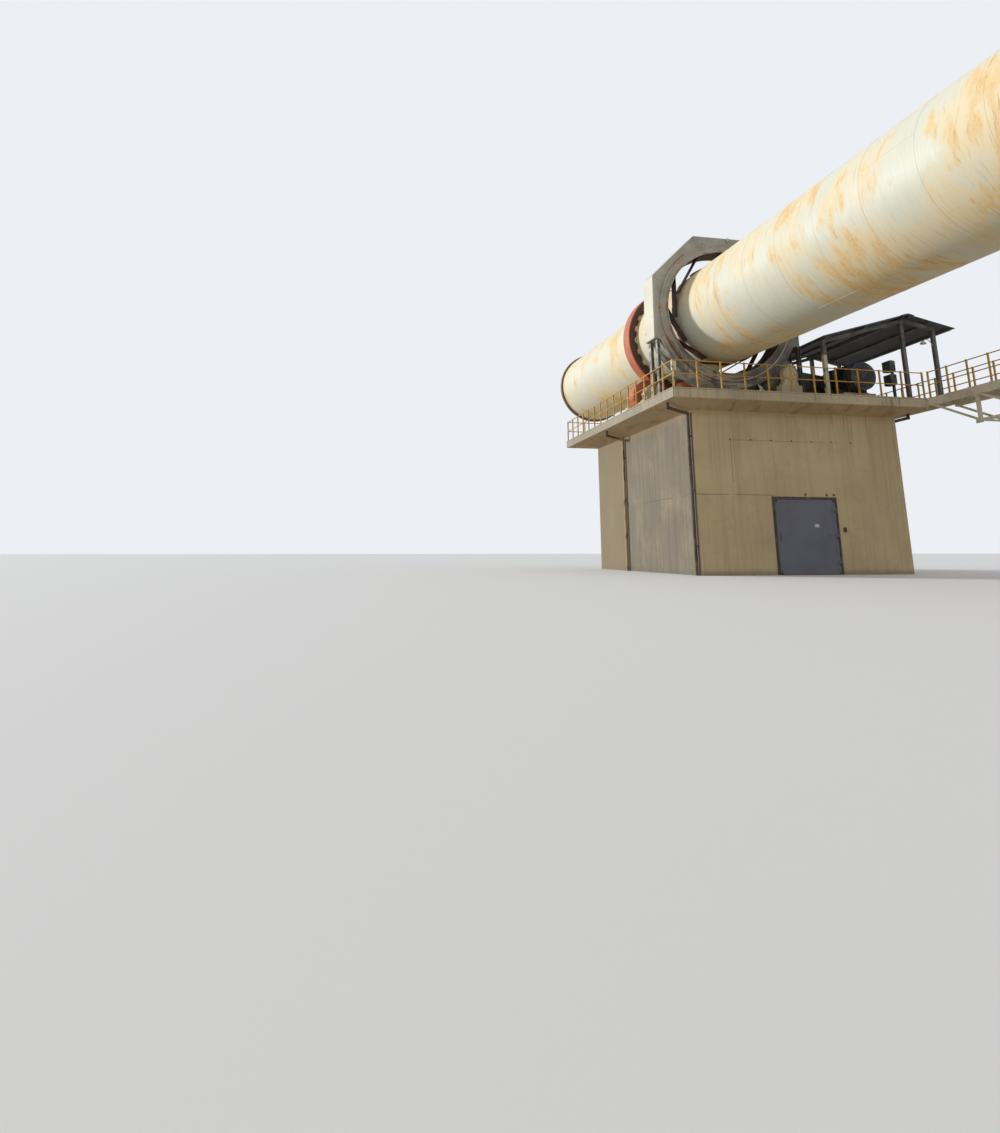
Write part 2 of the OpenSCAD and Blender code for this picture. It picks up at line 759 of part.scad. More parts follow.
module gear_guard_upper() {
    ledge = guard_t - guard_split;
    color([0.76, 0.75, 0.71]) on_axis(gear_x) rotate([90, 0, 90]) difference() {
        union() {
            translate([0, 0, -guard_w / 2]) linear_extrude(guard_w) guard_octagon(guard_r, -guard_split);
            intersection() {
                guard_rims();
                translate([-2 * guard_r, -guard_split, -guard_w])
                    cube([4 * guard_r, 4 * guard_r, 2 * guard_w]);
            }
            guard_ledges(-guard_split);
        }
        translate([0, 0, guard_t - guard_w / 2]) linear_extrude(guard_w - 2 * guard_t) {
            guard_octagon(guard_r - guard_t, ledge);
            translate([0, -guard_split - 10]) square([2 * sqrt(pow(guard_r - guard_t, 2)
                - pow(guard_split, 2)), 40 + 2 * guard_t], center = true);
        }
        cylinder(h = 2 * guard_w, r = guard_inner_r, center = true, $fn = round_guard);
    }
}

module gear_guard_lower() {
    rib_pitch = guard_w / 6;
    color([0.70, 0.69, 0.66]) on_axis(gear_x) rotate([90, 0, 90]) difference() {
        union() {
            translate([0, 0, -guard_w / 2]) linear_extrude(guard_w)
                guard_trough(guard_r, cover_r + guard_t, -guard_split);
            intersection() {
                guard_rims();
                translate([-2 * guard_r, -guard_split - 4 * guard_r, -guard_w])
                    cube([4 * guard_r, 4 * guard_r, 2 * guard_w]);
            }
            guard_ledges(-guard_split - guard_t);
            for (i = [0 : cover_ribs - 1])
                translate([0, 0, (i - (cover_ribs - 1) / 2) * rib_pitch - guard_t / 2])
                    linear_extrude(guard_t) at_pinion()
                        circle(r = cover_r + guard_t + cover_rib_h, $fn = round_fine);
        }
        translate([0, 0, guard_t - guard_w / 2]) linear_extrude(guard_w - 2 * guard_t)
            guard_trough(guard_r - guard_t, cover_r, 1 - guard_split);
        cylinder(h = 2 * guard_w, r = guard_inner_r, center = true, $fn = round_guard);
        at_pinion() cylinder(h = 2 * guard_w, r = pinion_shaft_r + 20, center = true, $fn = 64);
    }
}

// Posts of H section that carry the guard's ledges, on both sides
module guard_posts() {
    w = guard_post;
    d = guard_post_depth;
    t = w / 6;
    drop = guard_split + guard_t + run_gap;
    color([0.72, 0.70, 0.64]) for (y = [post_near_y, post_drive_y], end = [-1, 1]) {
        x = level_x(gear_x, drop) + end * (guard_w / 2 - w * 0.7);
        difference() {
            wedge(x - w / 2, x + w / 2, y - d / 2, y + d / 2, slab_top, drop);
            for (face = [-1, 1]) translate([x + (face > 0 ? t / 2 : -w), y - d / 2 + t, slab_top + t])
                cube([w - t / 2, d - 2 * t, axis_z]);
        }
        translate([x - w * 0.7, y - d / 2, slab_top]) cube([w * 1.4, d, t]);
    }
}

// A coupling of two hubs and two flanges on a shaft along x, between two faces
module coupling(x0, x1, r) {
    middle = (x0 + x1) / 2;
    rod(x0 + coupling_gap, x1 - coupling_gap, r * 0.7, 48);
    rod(middle - r * 0.2, middle + r * 0.2, r, 48);
}

module pinion() {
    shaft_x0 = gearbox_x1 - gear_x;
    shaft_x1 = pinion_bearing_x + pinion_bearing_l / 2 - shaft_short;
    color([0.42, 0.38, 0.34]) on_axis(gear_x) translate([0, pinion_y, -pinion_drop]) union() {
        rotate([0, 90, 0]) translate([0, 0, -pinion_w / 2]) linear_extrude(pinion_w)
            polygon(wheel_points(pinion_teeth, pinion_angle + 180));
        rod(shaft_x0 - shaft_reach / 4, shaft_x1, pinion_shaft_r, 64);
        coupling(shaft_x0 + gearbox_flange + gearbox_cap, shaft_x0 + shaft_reach - bearing_cover, coupling_r);
    }
}

module pinion_bearings() {
    color([0.84, 0.80, 0.68]) on_axis(gear_x) for (end = [-1, 1])
        translate([end * pinion_bearing_x, pinion_y, -pinion_drop]) rotate([0, 0, end > 0 ? 0 : 180])
            bearing(pinion_bearing_l, pinion_bearing_w, pinion_bearing_w * 0.45, drive_down, pinion_shaft_r,
                end > 0);
}

// A split gearbox with flanges, ribs and a bearing cap at each end of its four shafts
module gearbox() {
    f = gearbox_flange;
    y0 = pinion_y - gearbox_near;
    y1 = motor_y + gearbox_far;
    lid_y0 = pinion_y - gearbox_near / 2;
    lid_y1 = pinion_y + motor_offset * 0.3;
    color([0.62, 0.62, 0.58]) on_axis() translate([gearbox_x0, 0, -pinion_drop]) difference() {
        union() {
            rotate([90, 0, 90]) linear_extrude(gearbox_l) polygon([[y0, -drive_down], [y1, -drive_down],
                [y1, gearbox_up * 0.3], [motor_y + gearbox_far / 2, gearbox_up * 0.6],
                [lid_y1, gearbox_up], [lid_y0, gearbox_up], [y0, gearbox_up * 0.4]]);
            for (z = [-drive_down, -f / 2]) translate([-f, y0 - f, z])
                cube([gearbox_l + 2 * f, y1 - y0 + 2 * f, f]);
            for (share = [0, 0.36, 0.68, 1]) translate([0, pinion_y + share * motor_offset, 0]) {
                rod(-gearbox_cap - f, gearbox_l + f + gearbox_cap, 190 - 80 * share, 64);
                translate([-f, -f / 2, -drive_down]) cube([gearbox_l + 2 * f, f, drive_down]);
            }
            translate([gearbox_l * 0.15, lid_y0 + f, gearbox_up])
                cube([gearbox_l * 0.7, lid_y1 - lid_y0 - 2 * f, f / 2]);
        }
        translate([0, pinion_y, 0])
            rod(gearbox_l - shaft_reach / 2, 2 * gearbox_l, pinion_shaft_r + run_gap, 64);
    }
}

// A finned motor with end shields, a fan cowl, feet, a terminal box and a shaft to the gearbox
module motor() {
    core_r = motor_r - fin_h;
    cowl_x = motor_l * 0.82;
    foot_x = end_shield_l;
    foot_l = cowl_x - 2 * end_shield_l;
    shaft_x0 = -shaft_reach * 1.5 + gearbox_flange + gearbox_cap + run_gap;
    color([0.22, 0.24, 0.27]) on_axis() translate([motor_x0, motor_y, -pinion_drop]) union() {
        rod(0, cowl_x, core_r);
        for (x = [0, cowl_x - end_shield_l]) rod(x, x + end_shield_l, motor_r);
        rod(cowl_x, motor_l, motor_r * 0.93);
        for (i = [0 : fin_count - 1]) rotate([(i + 0.5) * 360 / fin_count, 0, 0])
            translate([end_shield_l - 1, -fin_t / 2, core_r - fin_t])
                cube([cowl_x - 2 * end_shield_l + 2, fin_t, fin_h]);
        rod(shaft_x0, 1, motor_shaft_r, 48);
        coupling(shaft_x0, 0, coupling_r * 0.8);
        translate([foot_x, -motor_r * 0.85, -motor_foot]) cube([foot_l, motor_r * 1.7, bearing_foot / 2]);
        for (side = [-1, 1]) translate([foot_x, side * motor_r * 0.6 - fin_h, -motor_foot])
            cube([foot_l, 2 * fin_h, motor_foot - motor_r * 0.6]);
        translate([motor_l * 0.25, -motor_r - terminal_out, -terminal_h / 4])
            cube([terminal_l, motor_r / 2, terminal_h]);
    }
}

// Concrete plinths under the pinion's bearings, the gearbox and the motor
module drive_plinths() {
    half_b = pinion_bearing_w / 2 + bed_margin;
    half_l = pinion_bearing_l / 2 + bed_margin / 2;
    top = drive_drop + run_gap;
    motor_top = pinion_drop + motor_foot + run_gap;
    color([0.80, 0.76, 0.64]) union() {
        for (end = [-1, 1]) {
            x = level_x(gear_x + end * pinion_bearing_x, top);
            wedge(x - half_l, x + half_l, pinion_y - half_b, pinion_y + half_b, slab_top, top);
        }
        wedge(level_x(gearbox_x0 - bed_margin, top), level_x(gearbox_x1 + bed_margin, top),
            pinion_y - gearbox_near - bed_margin, motor_y + gearbox_far + bed_margin, slab_top, top);
        wedge(level_x(motor_x0, motor_top), level_x(motor_x0 + motor_l * 0.85, motor_top),
            motor_y - motor_r - bed_margin, motor_y + motor_r + bed_margin, slab_top, motor_top);
    }
}

// A post beside the motor with two control boxes
module control_post() {
    w = control_w;
    post = w / 5;
    color([0.20, 0.21, 0.22]) translate([control_x, control_y, slab_top]) union() {
        translate([-post / 2, -post / 2, 0]) cube([post, post, control_h]);
        translate([-post * 1.5, -post * 1.5, 0]) cube([post * 3, post * 3, post / 4]);
        for (level = [0.38, 0.71]) translate([-w / 2, -w / 2 - post / 2, control_h * level])
            cube([w, w / 2 + post / 2, control_h * 0.25]);
    }
}

module pier_colour() {
    color([0.72, 0.61, 0.38]) children();
}

module pier_a_mass() {
    pier_colour() union() {
        block([pier_x0, pier_y0, 0], [mass_end, pier_y1, wall_h]);
        block([pier_x0, pier_y0 - pilaster_out, 0], [pier_x0 + pilaster_l, pier_y1 + pilaster_out, wall_h]);
    }
}

module pier_a_left_wall() {
    pier_colour() block([mass_end, pier_y0, 0], [pier_x1 - wall_t, pier_y0 + wall_t, wall_h]);
}

module pier_a_right_wall() {
    pier_colour() block([mass_end, pier_y1 - wall_t, 0], [pier_x1 - wall_t, pier_y1, wall_h]);
}

module pier_a_front_left() {
    pier_colour() block([pier_x1 - wall_t, pier_y0, 0], [pier_x1, door_y - door_w / 2, wall_h]);
}

module pier_a_front_right() {
    pier_colour() block([pier_x1 - wall_t, door_y + door_w / 2, 0], [pier_x1, pier_y1, wall_h]);
}

module pier_a_lintel() {
    pier_colour() block([pier_x1 - wall_t, door_y - door_w / 2, door_h],
        [pier_x1, door_y + door_w / 2, wall_h]);
}

module pier_a_floor() {
    color([0.55, 0.53, 0.49]) block([mass_end, pier_y0 + wall_t, 0],
        [pier_x1 - wall_t, pier_y1 - wall_t, floor_t]);
}

module pier_a_slab() {
    color([0.66, 0.58, 0.42]) union() {
        hull() {
            block([pier_x0, pier_y0, wall_h], [pier_x1, pier_y1, wall_h + 1]);
            block([slab_x0, slab_y0, slab_top - slab_t], [slab_x1, slab_y1, slab_top - slab_t + 1]);
        }
        block([slab_x0, slab_y0, slab_top - slab_t], [slab_x1, slab_y1, slab_top]);
    }
}

module pier_a_handrail() {
    x0 = slab_x0 + rail_inset;
    x1 = slab_x1 - rail_inset;
    y0 = slab_y0 + rail_inset;
    y1 = slab_y1 - rail_inset;
    color([0.76, 0.58, 0.20]) {
        handrail([x0, y0, slab_top], x1 - x0);
        handrail([x1, y0, slab_top], y1 - y0, 90);
        handrail([x0, y0, slab_top], y1 - y0, 90);
        handrail([x0, y1, slab_top], -strip_l + slab_x1 - x0);
    }
}

// A rainwater pipe that slants under the soffit to a wall face and runs down it
module drain_pipe(x, wall_y, side) {
    y = wall_y + side * (drain_r + drain_gap);
    edge = wall_y + side * (over_side - 80);
    bend = wall_h - 70;
    rise = soffit_rise * 0.62;
    inlet = wall_h + soffit_rise * (over_side - 80 - drain_r) / over_side - run_gap;
    length = norm([edge - y, rise]);
    clip_w = 2 * (drain_r + drain_collar);
    translate([x, y, 0]) {
        cylinder(h = bend, r = drain_r, $fn = 24);
        translate([0, 0, bend]) sphere(r = drain_r + drain_collar, $fn = 24);
        translate([0, 0, bend]) rotate([-side * atan2(abs(edge - y), rise), 0, 0])
            cylinder(h = length, r = drain_r, $fn = 24);
        translate([0, edge - y, bend + rise]) {
            sphere(r = drain_r + drain_collar, $fn = 24);
            cylinder(h = inlet - bend - rise, r = drain_r, $fn = 24);
        }
        for (i = [0 : drain_clips - 1]) translate([-clip_w / 2, side > 0 ? -drain_r - drain_gap : 0,
            (i + 0.5) * wall_h / drain_clips]) cube([clip_w, drain_r + drain_gap, drain_r * 0.7]);
    }
}

module drain_pipes() {
    color([0.33, 0.29, 0.25]) {
        drain_pipe(pier_x1 - 90, pier_y0, -1);
        drain_pipe(pier_x1 - 160, pier_y1, 1);
        drain_pipe(pier_x0 + pilaster_l + drain_r + drain_collar + drain_gap, pier_y0, -1);
    }
}

// Places children at the foot of each hinge of the door, on its axis
module at_hinges() {
    axis_x = pier_x1 + frame_t + hinge_out;
    for (i = [0 : hinge_count - 1])
        translate([axis_x, door_y + door_w / 2 - leaf_gap / 2, door_h * (0.12 + 0.7 * i / (hinge_count - 1))])
            children();
}

module door_frame() {
    y0 = door_y - door_w / 2;
    y1 = door_y + door_w / 2;
    color([0.40, 0.36, 0.32]) union() {
        difference() {
            block([pier_x1, y0 - frame_w, 0], [pier_x1 + frame_t, y1 + frame_w, door_h + frame_w]);
            block([pier_x1 - 1, y0, -1], [pier_x1 + frame_t + 1, y1, door_h]);
        }
        at_hinges() {
            cylinder(h = knuckle_h, r = knuckle_r, $fn = 32);
            cylinder(h = 2 * knuckle_h + 6, r = hinge_pin_r, $fn = 32);
            translate([-hinge_out - frame_t / 2, leaf_gap / 2, 0])
                cube([hinge_out + frame_t / 2, frame_w * 0.6, knuckle_h]);
        }
    }
}

// A flat leaf with straps to its hinges and a handle
module door_leaf() {
    y0 = door_y - door_w / 2 + leaf_gap;
    y1 = door_y + door_w / 2 - leaf_gap;
    face = pier_x1 + frame_t;
    strap_t = hinge_out - knuckle_r + 3;
    handle_w = handle_out * 0.7;
    color([0.33, 0.37, 0.45]) difference() {
        union() {
            block([face - leaf_t, y0, leaf_gap], [face, y1, door_h - leaf_gap]);
            translate([face, y0 + 2 * handle_out, door_h * 0.45]) difference() {
                cube([handle_out, handle_w, handle_h]);
                translate([-1, -1, handle_w / 2])
                    cube([handle_out - handle_w / 2 + 1, handle_w + 2, handle_h - handle_w]);
            }
            at_hinges() translate([0, 0, knuckle_h + run_gap]) {
                cylinder(h = knuckle_h, r = knuckle_r, $fn = 32);
                translate([-hinge_out - 1, -leaf_gap / 2 - strap_len, 0])
                    cube([strap_t, strap_len - leaf_gap, knuckle_h]);
                translate([-hinge_out - 1, -leaf_gap / 2 - 40, 0])
                    cube([hinge_out + 1, 40 + leaf_gap / 2 - knuckle_r / 2, knuckle_h]);
            }
        }
        at_hinges() translate([0, 0, knuckle_h / 2])
            cylinder(h = 2 * knuckle_h, r = hinge_pin_r + run_gap, $fn = 32);
    }
}

// A battered shaft with a flared neck and a pilaster on its near face
module pier_b_shaft() {
    top = slab_b_top - slab_b_t;
    neck = top - flare_h;
    color([0.63, 0.57, 0.46]) translate([tyre_spacing, 0, 0]) union() {
        hull() {
            block([-shaft_half_l - shaft_batter, -shaft_half_w - shaft_batter, 0],
                [shaft_half_l + shaft_batter, shaft_half_w + shaft_batter, 1]);
            block([-shaft_half_l, -shaft_half_w, neck - 1], [shaft_half_l, shaft_half_w, neck]);
        }
        hull() {
            block([-shaft_half_l, -shaft_half_w, neck - 1], [shaft_half_l, shaft_half_w, neck]);
            block([over_b - slab_b_l / 2, over_b - slab_b_half_w, top - 1],
                [slab_b_l / 2 - over_b, slab_b_half_w - over_b, top]);
        }
        hull() {
            block([shaft_half_l - pilaster_b_l, -shaft_half_w - shaft_batter - pilaster_b_out, 0],
                [shaft_half_l + shaft_batter, 0, 1]);
            block([shaft_half_l - pilaster_b_l, -shaft_half_w - pilaster_b_out, neck - 1],
                [shaft_half_l, 0, neck]);
        }
    }
}

module pier_b_slab() {
    color([0.62, 0.57, 0.47]) translate([tyre_spacing, 0, 0])
        block([-slab_b_l / 2, -slab_b_half_w, slab_b_top - slab_b_t],
            [slab_b_l / 2, slab_b_half_w, slab_b_top]);
}

module pier_b_handrail() {
    x0 = tyre_spacing - slab_b_l / 2 + rail_inset;
    x1 = tyre_spacing + slab_b_l / 2 - rail_inset;
    y = slab_b_half_w - rail_inset;
    color([0.76, 0.58, 0.20]) {
        handrail([x0, -y, slab_b_top], x1 - x0);
        handrail([x0, y, slab_b_top], x1 - x0);
        handrail([x0, -y, slab_b_top], 2 * y, 90);
        handrail([x1, -y, slab_b_top], 2 * y, 90);
    }
}

// Height of the canopy roof's underside at a place across the kiln
function roof_z(y) = slab_top + (y < ridge_y
    ? eave_in_h + (ridge_h - eave_in_h) * (y - eave_in_y) / (ridge_y - eave_in_y)
    : eave_out_h + (ridge_h - eave_out_h) * (eave_out_y - y) / (eave_out_y - ridge_y));

module canopy_roof() {
    color([0.34, 0.35, 0.37]) translate([canopy_x0, 0, 0]) rotate([90, 0, 90]) linear_extrude(canopy_l)
        polygon([[eave_in_y, roof_z(eave_in_y)], [ridge_y, roof_z(ridge_y)],
            [eave_out_y, roof_z(eave_out_y)], [eave_out_y, roof_z(eave_out_y) + roof_t],
            [ridge_y, roof_z(ridge_y) + roof_t], [eave_in_y, roof_z(eave_in_y) + roof_t]]);
}

// Places across the kiln of the purlins on the two slopes, between the edges of the roof
function purlin_places() =
    let (p = canopy_post, first = [eave_in_y + p, ridge_y + p / 2],
        last = [ridge_y - 1.5 * p, eave_out_y - 1.5 * p])
    [for (i = [0 : purlins - 1], k = [0, 1]) first[k] + i * (last[k] - first[k]) / (purlins - 1)];

// The roof's outline between two places, from a depth below its underside up to a clearance of it
module under_roof(y0, y1, depth, clearance) {
    polygon([[y0, roof_z(y0) - clearance], [y1, roof_z(y1) - clearance], [y1, roof_z(y1) - depth],
        [y0, roof_z(y0) - depth]]);
}

// Posts on base plates at both ends, with rafters on them and purlins along the roof
module canopy_frame() {
    p = canopy_post;
    posts = [eave_in_y + p, ridge_y - p, walk_y1 - rail_inset - post_w - p / 2];
    rafter_top = purlin_h - 1;
    color([0.40, 0.39, 0.36]) union() {
        for (x = [canopy_x0 + rafter_inset, canopy_x1 - rafter_inset - p]) {
            for (y = posts) {
                block([x, y - p / 2, slab_top], [x + p, y + p / 2, roof_z(y) - purlin_h - p / 2]);
                block([x - p * 0.15, y - p * 0.65, slab_top], [x + p * 1.15, y + p * 0.65, slab_top + p / 5]);
            }
            translate([x, 0, 0]) rotate([90, 0, 90]) linear_extrude(p) {
                under_roof(posts[0] - p / 2, ridge_y, rafter_top + p, rafter_top);
                under_roof(ridge_y, posts[2] + p / 2, rafter_top + p, rafter_top);
            }
        }
        translate([canopy_x0 + p / 2, 0, 0]) rotate([90, 0, 90]) linear_extrude(canopy_l - p)
            for (y = purlin_places()) under_roof(y, y + p / 2, purlin_h, run_gap);
    }
}

module walkway_deck() {
    x0 = slab_x1 - strip_l;
    joist_pitch = bay_l / joists_a_bay;
    color([0.70, 0.68, 0.60]) union() {
        block([x0, walk_y0, slab_top - deck_t], [walk_x1, walk_y1, slab_top]);
        for (y = [walk_y0, walk_y1 - bar_w / 2])
            block([x0, y, slab_top - walk_beam], [walk_x1, y + bar_w / 2, slab_top - deck_t + 1]);
        for (x = [walk_x1 - bar_w : -joist_pitch : x0 + bar_w])
            block([x, walk_y0 + 1, slab_top - deck_t - joist_h],
                [x + bar_w / 2, walk_y1 - 1, slab_top - deck_t + 1]);
    }
}

// One flat side of the walkway's truss
module truss_side(y) {
    low = slab_top - truss_h;
    high = slab_top - walk_beam - bar_w / 2;
    color([0.80, 0.77, 0.66]) union() {
        bar_xz([slab_x1 + bar_w, high], [walk_x1 - bar_w, high], y, bar_w);
        bar_xz([slab_x1 + bay_l, low], [walk_x1 - bar_w, low], y, bar_w);
        for (i = [1 : walk_bays])
            bar_xz([slab_x1 + i * bay_l - (i == walk_bays ? bar_w : 0), low],
                [slab_x1 + i * bay_l - (i == walk_bays ? bar_w : 0), high], y, bar_w);
        for (i = [0 : walk_bays - 1])
            bar_xz([slab_x1 + (i + 1) * bay_l - (i == walk_bays - 1 ? bar_w : 0), low],
                [slab_x1 + max(i * bay_l, bar_w), high], y, bar_w * 0.7);
    }
}

// The inner side, with the cross bars between the two bottom chords
module truss_inner() {
    low = slab_top - truss_h;
    truss_side(walk_y0 + bar_w / 2);
    color([0.80, 0.77, 0.66]) for (i = [1 : walk_bays - 1]) translate([slab_x1 + i * bay_l, 0, low])
        block([-bar_w / 2, walk_y0 + bar_w - 1, -bar_w / 4],
            [bar_w / 2, walk_y1 - bar_w - run_gap, bar_w / 4]);
}

module truss_outer() {
    truss_side(walk_y1 - bar_w / 2);
}

module walkway_handrail() {
    x0 = slab_x1 - strip_l;
    color([0.76, 0.58, 0.20]) {
        handrail([slab_x1 + rail_inset, walk_y0 + rail_inset, slab_top], walk_x1 - slab_x1 - 2 * rail_inset);
        handrail([x0, walk_y1 - rail_inset, slab_top], walk_x1 - x0 - rail_inset);
    }
}

// A braced leg under the far end of the walkway
module trestle() {
    high = slab_top - truss_h - bar_w / 2;
    x = walk_x1 - bar_w;
    post = 1.6 * bar_w;
    color([0.74, 0.71, 0.62]) union() {
        for (y = [walk_y0 + bar_w / 2, walk_y1 - bar_w / 2])
            block([x - post / 2, y - post / 2, 0], [x + post / 2, y + post / 2, high]);
        for (i = [0 : 2]) {
            bar_yz([walk_y0, high * i / 3 + bar_w], [walk_y1, high * (i + 1) / 3 - bar_w], x, bar_w * 0.7);
        }
    }
}

shell_feed_end();
shell_tyre_a();
shell_gear_course();
shell_middle();
shell_tyre_b();
shell_discharge_end();
lining();
feed_end_ring();
nose_ring();
tyre(0);  // tyre_a
tyre(tyre_spacing);  // tyre_b
tyre_pads(0);  // tyre_pads_a
tyre_pads(tyre_spacing);  // tyre_pads_b
girth_gear();
spring_plates();
support_roller(0, -1);  // roller_a_left
support_roller(0, 1);  // roller_a_right
support_roller(tyre_spacing, -1);  // roller_b_left
support_roller(tyre_spacing, 1);  // roller_b_right
thrust_roller();
pinion();
roller_bed(0, slab_top, thrust_bed_l);  // roller_bed_a
roller_bed(tyre_spacing, slab_b_top, bed_half_l);  // roller_bed_b
bearings(0);  // bearings_a
bearings(tyre_spacing);  // bearings_b
thrust_housing();
heat_shields();
gear_guard_upper();
gear_guard_lower();
guard_posts();
pinion_bearings();
gearbox();
motor();
drive_plinths();
control_post();
pier_a_mass();
pier_a_left_wall();
pier_a_right_wall();
pier_a_front_left();
pier_a_front_right();
pier_a_lintel();
pier_a_floor();
pier_a_slab();
pier_a_handrail();
drain_pipes();
door_frame();
door_leaf();
pier_b_shaft();
pier_b_slab();
pier_b_handrail();
canopy_frame();
canopy_roof();
walkway_deck();
truss_inner();
truss_outer();
walkway_handrail();
trestle();
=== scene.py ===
# %% [markdown]
# # A rotary kiln on two concrete piers
# A rotary kiln is a long steel tube that turns slowly on rollers. Its pieces come from the packed
# model as a fixed frame, and these cells give them their finishes and the small things a modeller
# adds: bolts, weld seams, gussets and corrugated sheet. The model is at half the real size, and
# everything is in metres.

# %% Load the frame and keep its box
import json
import math

import bpy
from mathutils import Matrix, Vector


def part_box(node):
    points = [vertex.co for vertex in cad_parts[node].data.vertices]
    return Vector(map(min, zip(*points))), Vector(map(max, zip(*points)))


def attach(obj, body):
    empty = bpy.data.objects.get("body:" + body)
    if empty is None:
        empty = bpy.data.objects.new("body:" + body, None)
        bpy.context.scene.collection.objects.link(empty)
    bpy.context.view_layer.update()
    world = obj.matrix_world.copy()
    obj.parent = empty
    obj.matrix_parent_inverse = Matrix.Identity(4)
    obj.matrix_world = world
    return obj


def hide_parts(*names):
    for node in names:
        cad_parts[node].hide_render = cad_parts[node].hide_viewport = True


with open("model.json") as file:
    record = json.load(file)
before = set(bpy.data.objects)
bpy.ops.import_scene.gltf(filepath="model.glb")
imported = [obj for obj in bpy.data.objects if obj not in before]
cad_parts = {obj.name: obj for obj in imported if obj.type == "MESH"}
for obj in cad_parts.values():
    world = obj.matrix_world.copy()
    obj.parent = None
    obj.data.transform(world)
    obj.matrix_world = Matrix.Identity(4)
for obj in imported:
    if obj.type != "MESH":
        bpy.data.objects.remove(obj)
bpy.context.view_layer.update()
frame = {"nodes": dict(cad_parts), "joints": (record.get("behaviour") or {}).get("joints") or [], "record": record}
scene = bpy.context.scene

# %% [markdown]
# ## The kiln's own axis
# The tube lies on a slope, so most places are easier to name along its axis. The joint that turns
# the kiln holds that axis. A matrix made from it carries a point from the kiln's frame, x along
# the tube, to the frame of the whole model.

# %% Read the slope and the main places from the frame
joints = {joint["name"]: joint for joint in frame["joints"]}
spin = joints["kiln_spin"]
slope = math.atan2(-spin["axis"][2], spin["axis"][0])
axis_z = spin["pos_m"][2]
on_axis = Matrix.Translation((0, 0, axis_z)) @ Matrix.Rotation(slope, 4, "Y")


def centre(node):
    """The middle of a node's box."""
    low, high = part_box(node)
    return (low + high) / 2


def radius_of(node):
    """The radius of a node that is round across the kiln."""
    low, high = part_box(node)
    return (high.y - low.y) / 2


def along(point):
    """How far a point of the model lies down the kiln's axis from the first tyre."""
    return (on_axis.inverted() @ Vector(point)).x


slab_low, slab_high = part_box("pier_a_slab")
slab_top = slab_high.z
tyre_far = along(centre("tyre_b"))
gear_at = along(centre("girth_gear"))
shell_r = radius_of("shell_middle")
tyre_r = radius_of("tyre_a")
print("slope", round(math.degrees(slope), 3), "degrees, shell radius", round(shell_r, 3))
print("second tyre at", round(tyre_far, 3), "and gear at", round(gear_at, 3), "along the axis")

# %% [markdown]
# ## The camera
# The photograph was taken from just above the ground with a wide lens, looking up the slope. The
# camera's place and turn were worked out from the pier's corners and the two tyres. The point that
# it looks at isn't the middle of the frame, so the lens is shifted as well. Operators act on all
# that is selected, and the loaded pieces are, so a helper clears that first.

# %% Place the camera
PHOTO_WIDTH = 1000
FOCAL_PIXELS = 720.9
PRINCIPAL_RIGHT = 1.5
PRINCIPAL_UP = 189
SENSOR_MM = 36
FAR_CLIP = 400
camera_place = Vector((16.843, -7.974, 0.466))
camera_yaw = 0.197
camera_pitch = 0.237


def deselect():
    """Leaves nothing selected, so that the next operator acts on its own piece alone."""
    bpy.ops.object.select_all(action="DESELECT")


deselect()
bpy.ops.object.camera_add(location=camera_place)
camera = bpy.context.object
camera.name = "camera"
heading = Vector((
    -math.cos(camera_yaw) * math.cos(camera_pitch),
    math.sin(camera_yaw) * math.cos(camera_pitch),
    math.sin(camera_pitch),
))
camera.rotation_euler = heading.to_track_quat("-Z", "Y").to_euler()
optics = camera.data
optics.sensor_fit = "HORIZONTAL"
optics.sensor_width = SENSOR_MM
optics.lens = SENSOR_MM * FOCAL_PIXELS / PHOTO_WIDTH
optics.shift_x = -PRINCIPAL_RIGHT / PHOTO_WIDTH
optics.shift_y = -PRINCIPAL_UP / PHOTO_WIDTH
optics.clip_end = FAR_CLIP
scene.camera = camera
print("lens", round(optics.lens, 2), "mm")

# %% [markdown]
# ## Shader maths as Python
# A material is a graph of nodes. Written node by node it is long and hard to read, so one small
# class wraps a socket: arithmetic on it adds Math nodes, and its one method adds any other node.

# %% A socket that can be reckoned with


class Wire:
    """One output socket of a material's tree. Arithmetic on it adds Math nodes."""

    def __init__(self, tree, socket=None):
        self.tree = tree
        self.socket = socket

    def node(self, kind, settings=None, inputs=None, out=0):
        """Adds a node from its settings and the values or wires of its sockets; gives one output."""
        made = self.tree.nodes.new("ShaderNode" + kind)
        for name, value in (settings or {}).items():
            setattr(made, name, value)
        for name, value in (inputs or {}).items():
            if isinstance(value, Wire):
                self.tree.links.new(value.socket, made.inputs[name])
            else:
                made.inputs[name].default_value = value
        return Wire(self.tree, made.outputs[out])

    def math(self, operation, *values):
        """A Math node with this wire first."""
        return self.node("Math", {"operation": operation}, dict(enumerate((self, *values))))

    def __add__(self, other):
        return self.math("ADD", other)

    def __sub__(self, other):
        return self.math("SUBTRACT", other)

    def __rsub__(self, other):
        return self.node("Math", {"operation": "SUBTRACT"}, {0: other, 1: self})

    def __mul__(self, other):
        return self.math("MULTIPLY", other)

    def __truediv__(self, other):
        return self.math("DIVIDE", other)

    __radd__ = __add__
    __rmul__ = __mul__


# %% [markdown]
# ## Words for patterns
# Most finishes here need the same few things: a noise, a soft step between two values, a blend of
# two colours, and the three coordinates of a place. Colours are written as they look on a screen,
# from 0 to 255, and turned into the linear values that a shader works with where they are blended.

# %% Noise, steps, blends and colours


def paint(red, green, blue):
    """A colour written as it looks on a screen, as the linear colour of a shader."""
    linear = [((c / 255 + 0.055) / 1.055) ** 2.4 if c > 10 else c / 255 / 12.92 for c in (red, green, blue)]
    return (*linear, 1)


